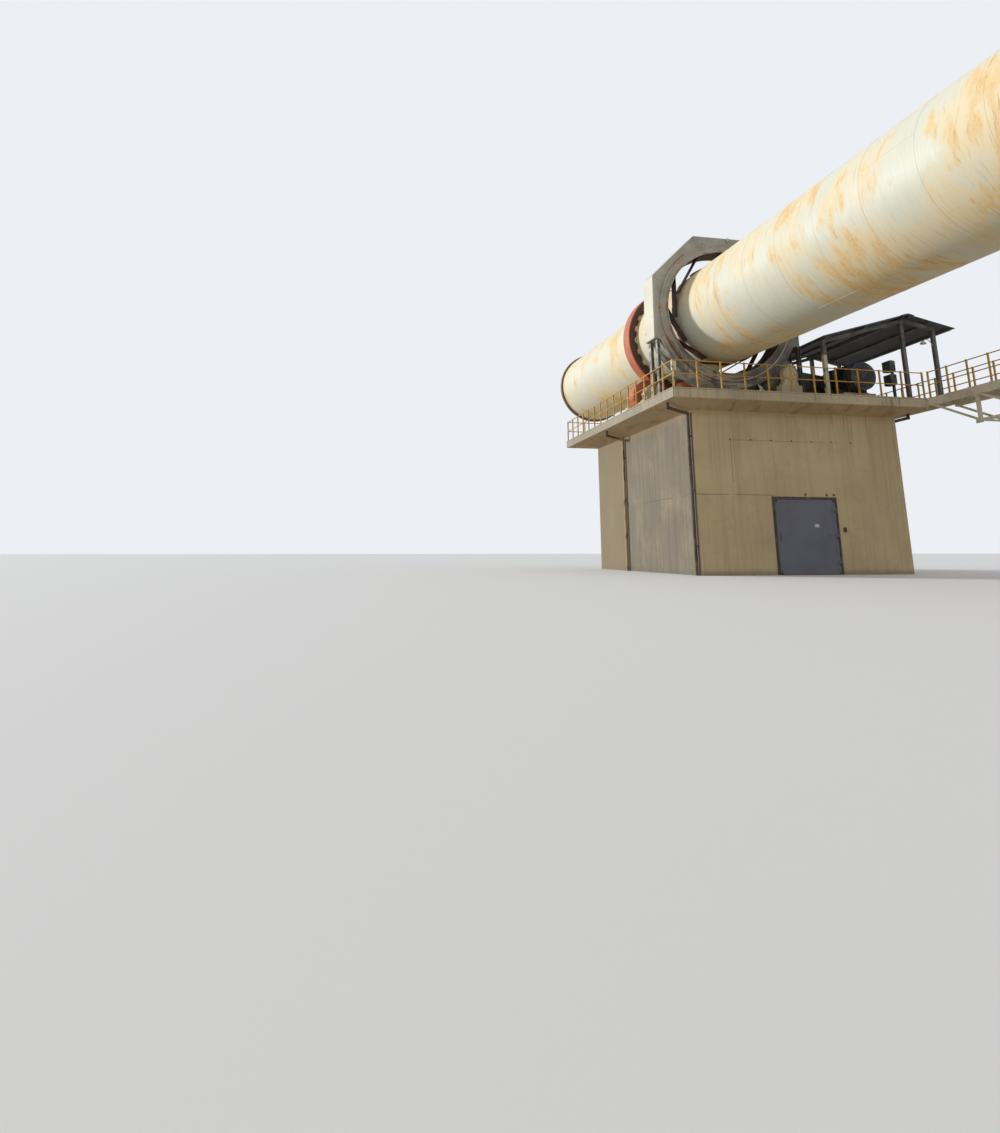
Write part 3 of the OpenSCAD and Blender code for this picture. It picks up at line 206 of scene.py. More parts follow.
def noise(place, scale, detail=4, rough=0.55, stretch=(1, 1, 1), shift=(0, 0, 0)):
    """A cloudy value around a half. A stretch under 1 along an axis draws it out that way."""
    moved = place.node("Mapping", None, {"Vector": place, "Scale": stretch, "Location": shift})
    sockets = {"Vector": moved, "Scale": scale, "Detail": detail, "Roughness": rough}
    return moved.node("TexNoise", None, sockets)


def step(value, low, high):
    """0 below low, 1 above high, and smooth between them; low above high turns it round."""
    sockets = {"Value": value, "From Min": low, "From Max": high}
    return value.node("MapRange", {"interpolation_type": "SMOOTHSTEP"}, sockets)


def blend(mask, under, over):
    """The colour under, covered by the colour over where the mask is 1; each a wire or a screen colour."""
    under, over = (colour if isinstance(colour, Wire) else paint(*colour) for colour in (under, over))
    return mask.node("Mix", {"data_type": "RGBA"}, {0: mask, 6: under, 7: over}, out=2)


def axes(place):
    """The three coordinates of a place."""
    return [place.node("SeparateXYZ", None, {"Vector": place}, out=number) for number in range(3)]


def vector(x, y, z):
    """A place from three values, of which the first is a wire."""
    return x.node("CombineXYZ", None, {0: x, 1: y, 2: z})


def line(value, at, half_width, soft):
    """1 in a thin line where a value is near one number."""
    return step((value - at).math("ABSOLUTE"), half_width + soft, half_width)


# %% [markdown]
# ## From a pattern to a material
# Each finish is a function that takes the object's coordinates and returns a colour, a roughness,
# a height for the bump, and sometimes a metal mask. One helper turns these into a material, and
# every CAD node gets the material of its slot in the record.

# %% Build a material from its pattern
RELIEF = 0.6
finishes = {}


def new_material(name):
    """An empty material and the tree of its nodes."""
    material = bpy.data.materials.new(name)
    material.use_nodes = True
    material.node_tree.nodes.clear()
    return material, material.node_tree


def surface(tree, shader):
    """Leads a shader to the surface."""
    tree.links.new(shader.socket, tree.nodes.new("ShaderNodeOutputMaterial").inputs["Surface"])


def finish(slot, pattern, bump=0.004):
    """Makes the material of a slot from a function of the object's coordinates."""
    finishes[slot], tree = new_material(slot)
    start = Wire(tree)
    made = pattern(start.node("TexCoord", out="Object"))
    relief = start.node("Bump", None, {"Height": made["height"], "Distance": bump, "Strength": RELIEF})
    sockets = {"Base Color": made["colour"], "Roughness": made["rough"], "Normal": relief}
    if "metal" in made:
        sockets["Metallic"] = made["metal"]
    surface(tree, start.node("BsdfPrincipled", None, sockets))
    print(slot, "is made of", len(tree.nodes), "shader nodes")


# %% [markdown]
# ## Weathered paint
# Painted steel outdoors fades unevenly, gathers dust, chips to rust at random and lets rust run
# down in streaks. The same recipe with other colours and amounts serves most of the plant. A
# picture wrapped round the pieces would show seams and repeats, so each mark comes from noise in
# the object's coordinates. The streaks are a noise drawn out along z, which only shows where a
# larger noise lets it.

# %% The recipe for painted steel
RUST = (178, 106, 52)


def weathered(place, coat, faded, chips=0.66, runs=0.6, grain=6.0):
    """Old paint on steel. Chips and runs nearer to a half give more rust."""
    cloud = noise(place, grain * 0.35)
    fine = noise(place, grain * 5, detail=6)
    dust = noise(place, grain * 0.9, shift=(3, 1, 7))
    drawn = noise(place, grain * 2.2, detail=3, stretch=(1, 1, 0.12))
    run = step(drawn * 0.65 + cloud * 0.35, runs, runs + 0.1)
    speck = noise(place, grain * 1.6, detail=9, rough=0.68)
    chip = step(speck, chips, chips + 0.03)
    colour = blend(step(cloud, 0.38, 0.66), coat, faded)
    colour = blend(step(dust, 0.5, 0.72) * 0.3, colour, (176, 160, 132))
    colour = blend(run * 0.5, colour, RUST)
    colour = blend(step(speck, chips - 0.06, chips + 0.03) * 0.4, colour, RUST)
    colour = blend(chip * 0.8, colour, (96, 62, 42))
    rough = 0.55 + 0.25 * step(cloud, 0.3, 0.7) + 0.12 * chip
    height = fine * 0.35 - chip * 0.6 + cloud * 0.1
    return {"colour": colour, "rough": rough, "height": height}


# %% [markdown]
# Eight of the plant's paints are this recipe with a coat, its faded colour and three amounts. Each
# could be a function of its own, but a table is easier to compare and to change.

# %% Eight paints from one recipe
for slot, coat, faded, chips, runs, grain in (
    ("bearing_paint", (214, 206, 176), (194, 182, 148), 0.62, 0.57, 6.0),
    ("truss_paint", (234, 229, 212), (216, 208, 184), 0.63, 0.59, 6.0),
    ("pad_paint", (226, 214, 180), (206, 184, 138), 0.6, 0.53, 6.0),
    ("shield_paint", (220, 218, 212), (198, 196, 188), 0.66, 0.6, 6.0),
    ("gearbox_paint", (96, 98, 98), (74, 76, 78), 0.66, 0.6, 6.0),
    ("motor_paint", (52, 56, 64), (68, 68, 72), 0.68, 0.6, 6.0),
    ("door_steel", (80, 70, 62), (66, 56, 50), 0.66, 0.62, 6.0),
    ("rail_paint", (208, 164, 64), (184, 142, 62), 0.6, 0.55, 9.0),
):
    finish(slot, lambda place: weathered(place, coat, faded, chips, runs, grain))

# %% [markdown]
# Three finishes differ from place to place. The door has faint drips and a dusty foot, one of the
# drain pipes was painted with the wall, and the canopy's posts beside the kiln are painted cream as
# painted sunlight. Such pieces could be split and given two materials each, but a mask on the
# coordinates does the same and leaves them whole.

# %% The door, the pipes and the canopy


def door_pattern(place):
    """Dull blue-grey sheet with faint drips, small scratches and dust at its foot."""
    x, y, z = axes(place)
    cloud = noise(place, 1.4, detail=5)
    fine = noise(place, 26, detail=6, rough=0.65)
    drips = step(noise(place, 15, detail=5, stretch=(1, 1, 0.04)), 0.5, 0.72)
    dust = step(z + 0.16 * noise(place, 4, detail=6), 0.26, 0.08)
    scratch = step(noise(place, 34, detail=8, rough=0.7, stretch=(1, 1, 0.3)), 0.66, 0.7)
    colour = blend(step(cloud, 0.38, 0.64), (114, 117, 130), (106, 108, 119))
    colour = blend(drips * 0.3, colour, (88, 86, 92))
    colour = blend(dust * 0.35, colour, (136, 130, 120))
    colour = blend(scratch * 0.4, colour, (140, 138, 138))
    return {"colour": colour, "rough": 0.5 + 0.2 * fine + 0.2 * dust, "height": fine * 0.25 - scratch * 0.3}


finish("door_paint", door_pattern)


MIDDLE_PIPE_X = 0.5
NEAR_PIPE_Y = -1.1
UNDER_SLAB = 3.34


def pipe_pattern(place):
    """Dark rusty paint, but the wall's ochre on the upright pipe at the middle of the near face."""
    made = weathered(place, (88, 78, 66), (70, 58, 48), 0.57, 0.53)
    x, y, z = axes(place)
    upright = step(y, NEAR_PIPE_Y, NEAR_PIPE_Y - 0.05) * step(z, UNDER_SLAB, UNDER_SLAB - 0.04)
    ochre = step(x, MIDDLE_PIPE_X, MIDDLE_PIPE_X - 0.1) * upright
    wear_and_painted_light = step(noise(place, 7, detail=7, stretch=(1, 1, 0.3)), 0.62, 0.54)
    return {**made, "colour": blend(ochre * wear_and_painted_light * 0.85, made["colour"], (184, 160, 114))}


finish("pipe_steel", pipe_pattern)

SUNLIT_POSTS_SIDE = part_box("canopy_roof")[0].y + 0.15
SUNLIT_POSTS_TOP = slab_top + 0.95


def canopy_pattern(place):
    """Grey steel; the posts beside the kiln are painted cream as painted sunlight."""
    made = weathered(place, (104, 106, 108), (84, 82, 80), 0.62)
    x, y, z = axes(place)
    # Painted sunlight: the inner posts beside the kiln are painted cream, in patches.
    cream = step(y, SUNLIT_POSTS_SIDE, SUNLIT_POSTS_SIDE - 0.01) * step(z, SUNLIT_POSTS_TOP, SUNLIT_POSTS_TOP - 0.05)
    wear_and_painted_light = step(noise(place, 6, detail=7), 0.66, 0.58)
    return {**made, "colour": blend(cream * wear_and_painted_light * 0.85, made["colour"], (222, 212, 182))}


finish("canopy_steel", canopy_pattern)

# %% [markdown]
# ## The shell of the kiln
# The tube's cream paint has baked, and rust has come through in tan patches that are drawn out
# round the tube, because it turned under the rain. The pattern is made from the distance along
# the axis and the direction round it, so it runs on from one course of plates to the next. Large
# soft zones say where patches may show, and a noise that is stretched round the tube and bent by
# another noise draws their curved edges.

# %% Cream paint with rust along the courses


def kiln_place(place):
    """Distance along the axis, the direction round it on a circle of radius 1, and the radius."""
    turned = place.node("Mapping", {"vector_type": "TEXTURE"}, {
        "Vector": place, "Location": (0, 0, axis_z), "Rotation": (0, slope, 0)})
    x, y, z = axes(turned)
    radius = (y * y + z * z).math("SQRT")
    return x, y / radius, z / radius, radius


def shell_pattern(place):
    """Baked cream paint with tan rust patches, scratches and flecks."""
    x, y, z, radius = kiln_place(place)
    plain = vector(x, y * shell_r, z * shell_r)
    bend = noise(plain, 0.9, detail=3, shift=(2, 8, 1))
    skin = vector(x + bend * 0.4, y * shell_r, z * shell_r)
    zone = noise(plain, 0.5, detail=3, shift=(5, 0, 3))
    strokes = noise(skin, 1.9, detail=9, rough=0.66, stretch=(1.7, 0.75, 0.75))
    wide = noise(plain, 1.0, detail=5, rough=0.55, shift=(1, 6, 2))
    lines = noise(skin, 5.5, detail=6, rough=0.65, stretch=(4, 0.4, 0.4))
    fine = noise(plain, 24, detail=5, rough=0.6)
    soft = step(zone * 0.4 + strokes * 0.35 + wide * 0.25, 0.43, 0.54)
    strong = step(zone * 0.4 + strokes * 0.6, 0.51, 0.56)
    core = step(zone * 0.25 + strokes * 0.5 + fine * 0.25, 0.56, 0.6)
    flecks = step(noise(plain, 8, detail=8, rough=0.75), 0.68, 0.71)
    colour = blend(step(wide, 0.4, 0.62), (220, 219, 200), (229, 221, 194))
    colour = blend(step(lines, 0.42, 0.62) * 0.35, colour, (204, 206, 194))
    colour = blend(soft * 0.6, colour, (236, 213, 162))
    colour = blend(strong * 0.6, colour, (231, 193, 128))
    colour = blend(core * 0.45, colour, (218, 164, 94))
    colour = blend(step(lines, 0.58, 0.66) * soft * 0.55, colour, (196, 150, 96))
    colour = blend(flecks * 0.7, colour, (140, 96, 62))
    rough = 0.48 + 0.2 * soft + 0.1 * fine
    height = fine * 0.25 - flecks * 0.4 - core * 0.25 + lines * 0.15
    return {"colour": colour, "rough": rough, "height": height}


finish("shell_paint", shell_pattern, bump=0.003)

# %% [markdown]
# ## The gear guard's paint
# The guard was pale grey once. Its flat near side is cleaner cream with a few dark chips, painted
# lighter as painted sunlight. Its side plates are greyer, and they are painted darkest over the
# drive as painted shade. Rust runs from the raised rims, and the trough below the split is
# darkened in swirls as painted shade and streaked with the grease that drips from the gear. All of
# that depends on the place in the guard, so this finish adds its own masks to the recipe for
# painted steel.

# %% Painted sunlight on the near side, painted shade on the far side and below, and grease
GUARD_OPENING = 1.41
GUARD_BAND = 0.17
GUARD_EDGE = 1.755
INNER_RIM = GUARD_OPENING + 0.012
OUTER_RIM = GUARD_OPENING + GUARD_BAND


def guard_pattern(place):
    """Pale grey paint, painted sunlight on the near side, painted shade far and below, rusty rims, grease."""
    made = weathered(place, (188, 184, 172), (166, 162, 152), 0.66, 0.62, 4.0)
    x, y, z, radius = kiln_place(place)
    # Painted sunlight: the flat near side is painted lighter cream.
    sunlit_panel = step(y * radius, 0.03 - GUARD_EDGE, 0.01 - GUARD_EDGE)
    # Painted shade: the far half, over the drive, is painted darker grey.
    far = step(y * radius, 0.1, 1.0) * step(z * radius, 1.2, 0.4)
    colour = blend(far * 0.6, made["colour"], (86, 86, 86))
    colour = blend(sunlit_panel * 0.85, colour, (226, 221, 202))
    nicks = step(noise(place, 9, detail=3), 0.66, 0.69) * sunlit_panel
    colour = blend(nicks * 0.8, colour, (84, 80, 74))
    low = step(z * radius, -0.62, -0.8)
    # Painted shade: the trough below the split is darkened in swirls.
    trough_shade_swirl = noise(vector(radius * 9, y * 2, z * 2), 1.3, detail=6)
    colour = blend(low * step(trough_shade_swirl, 0.34, 0.6) * 0.85, colour, (84, 85, 82))
    rim = line(radius, INNER_RIM, 0.016, 0.03) + line(radius, OUTER_RIM + 0.012, 0.016, 0.04)
    rusty = rim.math("MINIMUM", 1) * step(noise(place, 3.4, detail=8, rough=0.66), 0.47, 0.58)
    colour = blend(rusty * 0.75, colour, (168, 104, 60))
    grease = low * step(noise(place, 5, detail=7, stretch=(1, 1, 0.2)), 0.52, 0.62)
    colour = blend(grease * 0.6, colour, (66, 60, 52))
    return {**made, "colour": colour, "rough": made["rough"] - 0.2 * grease}


finish("guard_paint", guard_pattern)

# %% [markdown]
# ## Cast and worn steel
# Tyres and rollers are rust red with bright patches where metal rubs on metal, and the tyres' sides
# are dark brown with old grease. The girth gear is dark with grease and its spring plates are
# brown. Each could have its own recipe, but they differ only in colour, wear and grease, so one
# recipe takes these as its amounts.

# %% Steel that has been greased, rubbed and rained on


def cast_steel(place, red, dark, wear_and_painted_light, grease):
    """Rough steel. Worn gives bright rubbed patches, and grease darkens it."""
    cloud = noise(place, 2.4, detail=6)
    fine = noise(place, 30, detail=5, rough=0.65)
    flow = noise(place, 5, detail=6, rough=0.6, stretch=(0.5, 1, 1))
    greasy = step(flow * 0.6 + cloud * 0.4, 0.62 - grease * 0.3, 0.78 - grease * 0.3)
    bright = step(noise(place, 3.5, detail=3, shift=(2, 2, 2)), 0.72 - wear_and_painted_light * 0.3, 0.86 - wear_and_painted_light * 0.2)
    colour = blend(step(cloud, 0.35, 0.65), red, dark)
    colour = blend(step(fine, 0.55, 0.75) * 0.35, colour, (120, 62, 36))
    colour = blend(bright * 0.5, colour, (150, 138, 128))
    colour = blend(greasy * 0.85, colour, (36, 31, 28))
    rough = 0.62 - greasy * 0.22 - bright * 0.18 + fine * 0.1
    return {"colour": colour, "rough": rough, "height": fine * 0.4 + cloud * 0.3, "metal": bright * 0.6}


finish("gear_steel", lambda place: cast_steel(place, (86, 62, 48), (58, 46, 40), 0.1, 0.75))
finish("spring_steel", lambda place: cast_steel(place, (104, 66, 44), (74, 50, 36), 0.0, 0.35))
finish("end_casting", lambda place: cast_steel(place, (132, 112, 96), (104, 84, 70), 0.2, 0.2))
finish("roller_steel", lambda place: cast_steel(place, (198, 112, 74), (172, 92, 60), 0.3, 0.1))


def tyre_pattern(place):
    """A red face with rubbed patches, and sides dark with grease."""
    x, y, z, radius = kiln_place(place)
    ring = vector(x * 3, y * tyre_r, z * tyre_r)
    made = cast_steel(ring, (202, 114, 82), (184, 98, 68), 0.12, 0.05)
    face = step(radius, tyre_r - 0.022, tyre_r - 0.012)
    side = noise(ring, 6, detail=5)
    dark = blend(side, (72, 50, 44), (102, 70, 56))
    colour = blend(face, dark, made["colour"])
    return {"colour": colour, "rough": made["rough"], "height": made["height"], "metal": made["metal"] * face}


finish("tyre_steel", tyre_pattern)

# %% [markdown]
# ## Fire brick
# The tube's inside is laid with refractory brick in rings. Thousands of bricks could be modelled,
# but they show only through the two ends, so a pattern does it. Laid on the distance along the
# axis and the angle round it, it gives the rings their joints and makes some bricks darker.

# %% Rings of brick


def lining_pattern(place):
    """Rings of fired brick, glazed and darkened unevenly."""
    x, y, z, radius = kiln_place(place)
    angle = y.math("ARCTAN2", z) * shell_r
    wall = vector(x, angle, 0)
    sockets = {"Vector": wall, "Scale": 1.0, "Mortar Size": 0.004, "Brick Width": 0.2, "Row Height": 0.1,
               "Color1": paint(122, 98, 84), "Color2": paint(96, 76, 66), "Mortar": paint(58, 50, 46)}
    brick = wall.node("TexBrick", None, sockets)
    joint = wall.node("TexBrick", None, sockets, out=1)
    cloud = noise(place, 2.2)
    colour = blend(step(cloud, 0.4, 0.7) * 0.5, brick, (146, 104, 78))
    return {"colour": colour, "rough": 0.8 - 0.15 * cloud, "height": (1 - joint) + 0.3 * noise(place, 40)}


finish("lining_brick", lining_pattern)

# %% [markdown]
# ## Concrete
# The first pier is painted ochre over board-marked concrete. A pour joint runs level from the door
# round its near side, rain has drawn fine streaks down it, and the ground has dirtied its foot. Its
# near face is painted greyer and darker as painted shade, and a strip at its uphill end is painted
# a darker ochre, also painted shade. The slab on top is bare, with dark drips on its edge and brown
# streaks under it, its near edge is painted grey as painted shade, and the second pier is bare
# grey-beige. One recipe makes the surface, and a second function adds what is found in one place
# only.

# %% The recipe for concrete


def concrete(place, coat, pale, stain, joints_at=(), streak=0.5, boards=0.0, foot=0.0):
    """Weathered concrete with level pour joints, streaks, board marks and a dirty foot."""
    x, y, z = axes(place)
    cloud = noise(place, 0.7, detail=5)
    blotch = noise(place, 2.6, detail=7, rough=0.62, shift=(9, 2, 1))
    fine = noise(place, 55, detail=4, rough=0.7)
    drawn = noise(place, 5.5, detail=5, rough=0.62, stretch=(1, 1, 0.05))
    fall = noise(place, 15, detail=4, rough=0.6, stretch=(1, 1, 0.03), shift=(4, 4, 0))
    colour = blend(step(cloud, 0.36, 0.64), coat, pale)
    colour = blend(step(blotch, 0.5, 0.72) * 0.25, colour, stain)
    colour = blend(step(drawn, 0.5, 0.72) * streak * 0.6, colour, stain)
    colour = blend(step(fall, 0.54, 0.66) * streak * 0.4, colour, stain)
    colour = blend(step(fall, 0.44, 0.36) * streak * 0.3, colour, (222, 204, 164))
    pits = step(noise(place, 30, detail=2), 0.72, 0.77)
    colour = blend(pits * 0.5, colour, (96, 84, 66))
    height = fine * 0.35 + blotch * 0.25 - pits * 0.5
    wavy = z + 0.02 * noise(place, 1.3, detail=2) + 0.006 * noise(place, 18)
    for number, level in enumerate(joints_at):
        gap = line(wavy, level + 0.013, 0.005, 0.01)
        gap = gap * step(noise(place, 1.1, shift=(number * 7, 3, 2)), 0.4, 0.56)
        colour = blend(gap * 0.4, colour, (112, 96, 72))
        height = height - gap * 0.7
    if boards:
        seam = line((z / boards).math("FRACT"), 0.5, 0.006, 0.02)
        height = height - seam * 0.25
        colour = blend(seam * 0.08, colour, stain)
    if foot:
        splash = step(z + 0.1 * noise(place, 2.2, detail=6), foot, foot * 0.3)
        colour = blend(splash * 0.55, colour, (112, 104, 90))
    return {"colour": colour, "rough": 0.78 + 0.16 * cloud, "height": height}


# %% [markdown]
# What is found in one place only is masked by the coordinates: the near face by y, the front face
# by x, joints and drips by z. The door's head, the wall's top and its faces are read from the
# frame, so the marks that belong to them stay with them.

# %% The walls of the first pier
door_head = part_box("door_frame")[1].z
wall_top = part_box("pier_a_mass")[1].z
near_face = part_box("pier_a_left_wall")[0].y
front_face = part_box("pier_a_lintel")[1].x
TIE_ROW = 2.755
CRACK_Y = -0.33
CRACK_LOW = 1.87
CRACK_HIGH = 2.76
SHADED_STRIP_AT = front_face - 4.0


def wall_pattern(place):
    """Ochre paint with a crack, a half pour joint, rusty drips and painted shade on the near face."""
    made = concrete(place, (216, 196, 154), (203, 183, 145), (164, 148, 119), (), 0.6, 0.61, 0.2)
    x, y, z = axes(place)
    near = step(y, near_face + 0.006, near_face + 0.001)
    front = step(x, front_face - 0.006, front_face - 0.001)
    fall = step(noise(place, 26, detail=5, rough=0.6, stretch=(1, 1, 0.02)), 0.4, 0.62)
    wear_and_painted_light = step(noise(place, 1.1, detail=6, rough=0.6, shift=(0, 0, 5)), 0.3, 0.55)
    # Painted shade: the near face is painted greyer and darker, more in some patches than in others.
    colour = blend(near * (0.66 + 0.2 * wear_and_painted_light), made["colour"], (112, 106, 94))
    colour = blend(near * fall * 0.35, colour, (88, 83, 76))
    jitter = 0.02 * noise(place, 6, detail=5)
    cracked = step(z, CRACK_LOW - 0.03, CRACK_LOW + 0.03) * step(z, CRACK_HIGH + 0.02, CRACK_HIGH - 0.02)
    crack = line(y + jitter, CRACK_Y, 0.004, 0.008) * cracked * front
    joint = line(z + jitter, TIE_ROW, 0.003, 0.006) * step(y, -0.4, -0.32) * step(y, 2.7, 1.2) * front * 0.7
    level = z + jitter + 0.03 * noise(place, 0.8, detail=2)
    pour = line(level, door_head + 0.05, 0.004, 0.009) * step(y, 0.62, 0.54)
    pour = pour * step(noise(place, 1.4, detail=5, shift=(7, 3, 2)), 0.38, 0.5)
    marks = (crack + joint + pour).math("MINIMUM", 1)
    colour = blend(marks * 0.6, colour, (104, 88, 66))
    drips = step(noise(place, 11, detail=5, stretch=(1, 1, 0.04), shift=(0, 3, 0)), 0.58, 0.68)
    under = step(z, 2.1, 3.3) * step(y, 1.6, 2.1)
    colour = blend(drips * under * front * 0.6, colour, (150, 108, 62))
    head = step(z + 0.1 * noise(place, 3, detail=5), wall_top - 0.16, wall_top + 0.06)
    colour = blend(head * 0.35, colour, (176, 134, 80))
    # Painted shade: a strip at the uphill end of the near face is painted a darker ochre.
    strip = near * step(x, SHADED_STRIP_AT, SHADED_STRIP_AT - 0.1) * 0.7
    colour = blend(strip, colour, (142, 124, 95))
    return {**made, "colour": colour, "height": made["height"] - marks * 0.8}


finish("wall_concrete", wall_pattern, bump=0.006)

# %% [markdown]
# The slab's edge and its underside are told apart by height in the same way. The second pier's
# shaft and the floors need nothing more than the recipe.

# %% The slab, the shaft and the floors
SLAB_UNDER = slab_top - 0.2


def slab_pattern(place):
    """Bare slab with dark drips on its edge, brown streaks below and painted shade on its near edge."""
    made = concrete(place, (206, 192, 162), (190, 176, 148), (148, 132, 106), (), 0.6)
    x, y, z = axes(place)
    # Painted shade: on the near side, the slab's edge is painted grey.
    edge = step(z, SLAB_UNDER - 0.015, SLAB_UNDER) * step(z, slab_top - 0.002, slab_top - 0.006)
    side = step(y, near_face - 0.55, near_face - 0.56)
    colour = blend(edge * side * 0.6, made["colour"], (136, 128, 118))
    drips = step(noise(place, 17, detail=6, stretch=(1, 1, 0.12), shift=(1, 0, 0)), 0.56, 0.7)
    colour = blend(drips * edge * 0.55, colour, (84, 74, 64))
    lip = line(z + 0.008 * noise(place, 12), slab_top - 0.022, 0.004, 0.005)
    colour = blend(lip * 0.5, colour, (70, 62, 54))
    below = step(z, SLAB_UNDER, SLAB_UNDER - 0.03)
    colour = blend(below * 0.45, colour, (184, 148, 98))
    brown = step(noise(place, 4, detail=6, stretch=(0.35, 1, 1), shift=(6, 0, 0)), 0.54, 0.66)
    colour = blend(brown * below * 0.45, colour, (146, 108, 68))
    return {**made, "colour": colour}


finish("slab_concrete", slab_pattern, bump=0.006)
finish("shaft_concrete", lambda place: concrete(
    place, (180, 166, 138), (162, 150, 126), (128, 114, 92), (1.1, 2.0), 0.75, 0.61, 0.3), bump=0.006)
finish("floor_concrete", lambda place: concrete(place, (150, 144, 132), (134, 128, 118), (110, 102, 92)))
finish("bed_concrete", lambda place: concrete(place, (204, 194, 164), (184, 174, 146), (120, 104, 82)))

# %% [markdown]
# ## The roof sheet
# Corrugated sheet is galvanised and has gone dull grey. The sheets lap every half metre, a metre in
# life, and rust creeps from the laps. The camera sees it from below, where it lies in shade, and its
# greys are painted dark as painted shade. The laps could be modelled, but they are less than a
# millimetre high here, so bump draws them.

# %% Dull corrugated sheet
SHEET_WIDTH = 0.46


def sheet_pattern(place):
    """Dull zinc painted dark as painted shade, with lap lines and rust that creeps from the laps."""
    x, y, z = axes(place)
    cloud = noise(place, 1.6, detail=6)
    spangle = noise(place, 22, detail=3)
    lap = line((x / SHEET_WIDTH).math("FRACT"), 0.5, 0.012, 0.01)
    rusty = step(noise(place, 2.6, detail=8, rough=0.66, stretch=(1, 0.4, 1)) + lap * 0.12, 0.58, 0.72)
    # Painted shade: both greys of the zinc are dark, as for a shaded underside.
    colour = blend(cloud, (98, 101, 106), (78, 79, 82))
    colour = blend(spangle * 0.2, colour, (128, 130, 134))
    colour = blend(rusty * 0.6, colour, (122, 84, 58))
    metal = 0.35 - rusty * 0.3
    return {"colour": colour, "rough": 0.5 + 0.3 * cloud, "height": spangle * 0.2 - lap, "metal": metal}


finish("roof_sheet", sheet_pattern)

# %% Give every node the material of its slot
slots_of = {part["node"]: part["material_slot"] for part in frame["record"]["subparts"]}
for name, node in frame["nodes"].items():
    node.data.materials.clear()
    node.data.materials.append(finishes[slots_of[name]])
print("slots", len(finishes), "nodes", len(frame["nodes"]))

# %% [markdown]
# ## A few moves that every piece needs
# Each added piece is made as by hand: a primitive is put in place, faces are picked and drawn
# out, and an operator bevels or bends the result. With no mouse to click them, faces are picked
# by a test on their centre and their normal.

# %% Select pieces and pick faces


def select_only(pieces):
    """Selects some pieces and nothing else, the first of them active."""
    deselect()
    for piece in pieces:
        piece.select_set(True)
    bpy.context.view_layer.objects.active = pieces[0]


def pick(piece, test):
    """Goes to edit mode with the faces selected that pass a test on their centre and normal."""
    select_only([piece])
    bpy.ops.object.mode_set(mode="EDIT")
    bpy.ops.mesh.select_mode(type="FACE")
    bpy.ops.mesh.select_all(action="DESELECT")
    bpy.ops.object.mode_set(mode="OBJECT")
    for face in piece.data.polygons:
        face.select = test(face.center, face.normal)
    bpy.ops.object.mode_set(mode="EDIT")


def leave():
    """Back to object mode, with the piece that was edited."""
    bpy.ops.object.mode_set(mode="OBJECT")
    return bpy.context.object


# %% [markdown]
# Lids, turned pieces and plates make up most of what is added. A turned piece could be spun from
# its outline, but a disc that is drawn up and scaled at each level is closed from the start.

# %% Draw out a lid, turn a piece, bevel a plate


def raised(piece, test, margin, height):
    """Draws out the faces that pass a test, inside a margin, as a lid or a boss."""
    pick(piece, test)
    bpy.ops.mesh.inset(thickness=margin)
    bpy.ops.mesh.extrude_region_shrink_fatten(TRANSFORM_OT_shrink_fatten={"value": height})
    return leave()


def turned(levels, sides=24):
    """A turned piece: a disc drawn up through (radius, height) levels, scaled at each."""
    radius, height = levels[0]
    deselect()
    bpy.ops.mesh.primitive_circle_add(
        vertices=sides, radius=radius, fill_type="NGON", location=(0, 0, height))
    piece = bpy.context.object
    bpy.ops.object.transform_apply()
    pick(piece, lambda middle, normal: True)
    for wide, high in levels[1:]:
        bpy.ops.mesh.extrude_region_move(TRANSFORM_OT_translate={"value": (0, 0, high - height)})
        share = wide / radius
        bpy.ops.transform.resize(value=(share, share, 1), center_override=(0, 0, high))
        radius, height = wide, high
    bpy.ops.mesh.select_all(action="SELECT")
    bpy.ops.mesh.normals_make_consistent(inside=False)
    leave()
    bpy.ops.object.shade_smooth_by_angle(angle=math.radians(35))
    return piece


def plate(low, high, edge=0.003):
    """A block between two corners with bevelled edges."""
    low, high = Vector(low), Vector(high)
    deselect()
    bpy.ops.mesh.primitive_cube_add(size=1, location=(low + high) / 2, scale=high - low)
    piece = bpy.context.object
    bpy.ops.object.transform_apply()
    pick(piece, lambda middle, normal: True)
    bpy.ops.mesh.bevel(offset=edge, segments=1, affect="EDGES")
    return leave()


# %% [markdown]
# Round bars come as rings and as pipes. A pipe could be drawn out face by face, but a curve with a
# thickness keeps its section round every bend.

# %% Rings and pipes


def hoop(radius, thickness, around=48, across=6):
    """A round ring in the plane of x and y."""
    deselect()
    bpy.ops.mesh.primitive_torus_add(
        major_radius=radius, minor_radius=thickness, major_segments=around, minor_segments=across)
    bpy.ops.object.shade_smooth()
    return bpy.context.object


def pipe(points, radius, rounded=False):
    """A round bar through some points: a curve is given thickness and made a mesh."""
    deselect()
    bpy.ops.curve.primitive_bezier_curve_add()
    path = bpy.context.object
    spline = path.data.splines[0]
    spline.bezier_points.add(len(points) - 2)
    for knot, point in zip(spline.bezier_points, points):
        knot.co = point
        knot.handle_left_type = knot.handle_right_type = "AUTO" if rounded else "VECTOR"
    path.data.bevel_depth = radius
    path.data.bevel_resolution = 2
    path.data.resolution_u = 8 if rounded else 1
    path.data.use_fill_caps = True
    bpy.ops.object.convert(target="MESH")
    return bpy.context.object


# %% [markdown]
# What repeats is modelled once, at the origin, and copied to its places. A bolt is set a little
# into what carries it, so that no gap shows. A finished piece has its place in its mesh, rides on
# a body of the frame and takes the finish of a slot.

# %% Join, copy and finish
SEAT = 0.001


def joined(pieces):
    """Some pieces made one."""
    select_only(pieces)
    if len(pieces) > 1:
        bpy.ops.object.join()
    bpy.ops.object.transform_apply()
    return bpy.context.object


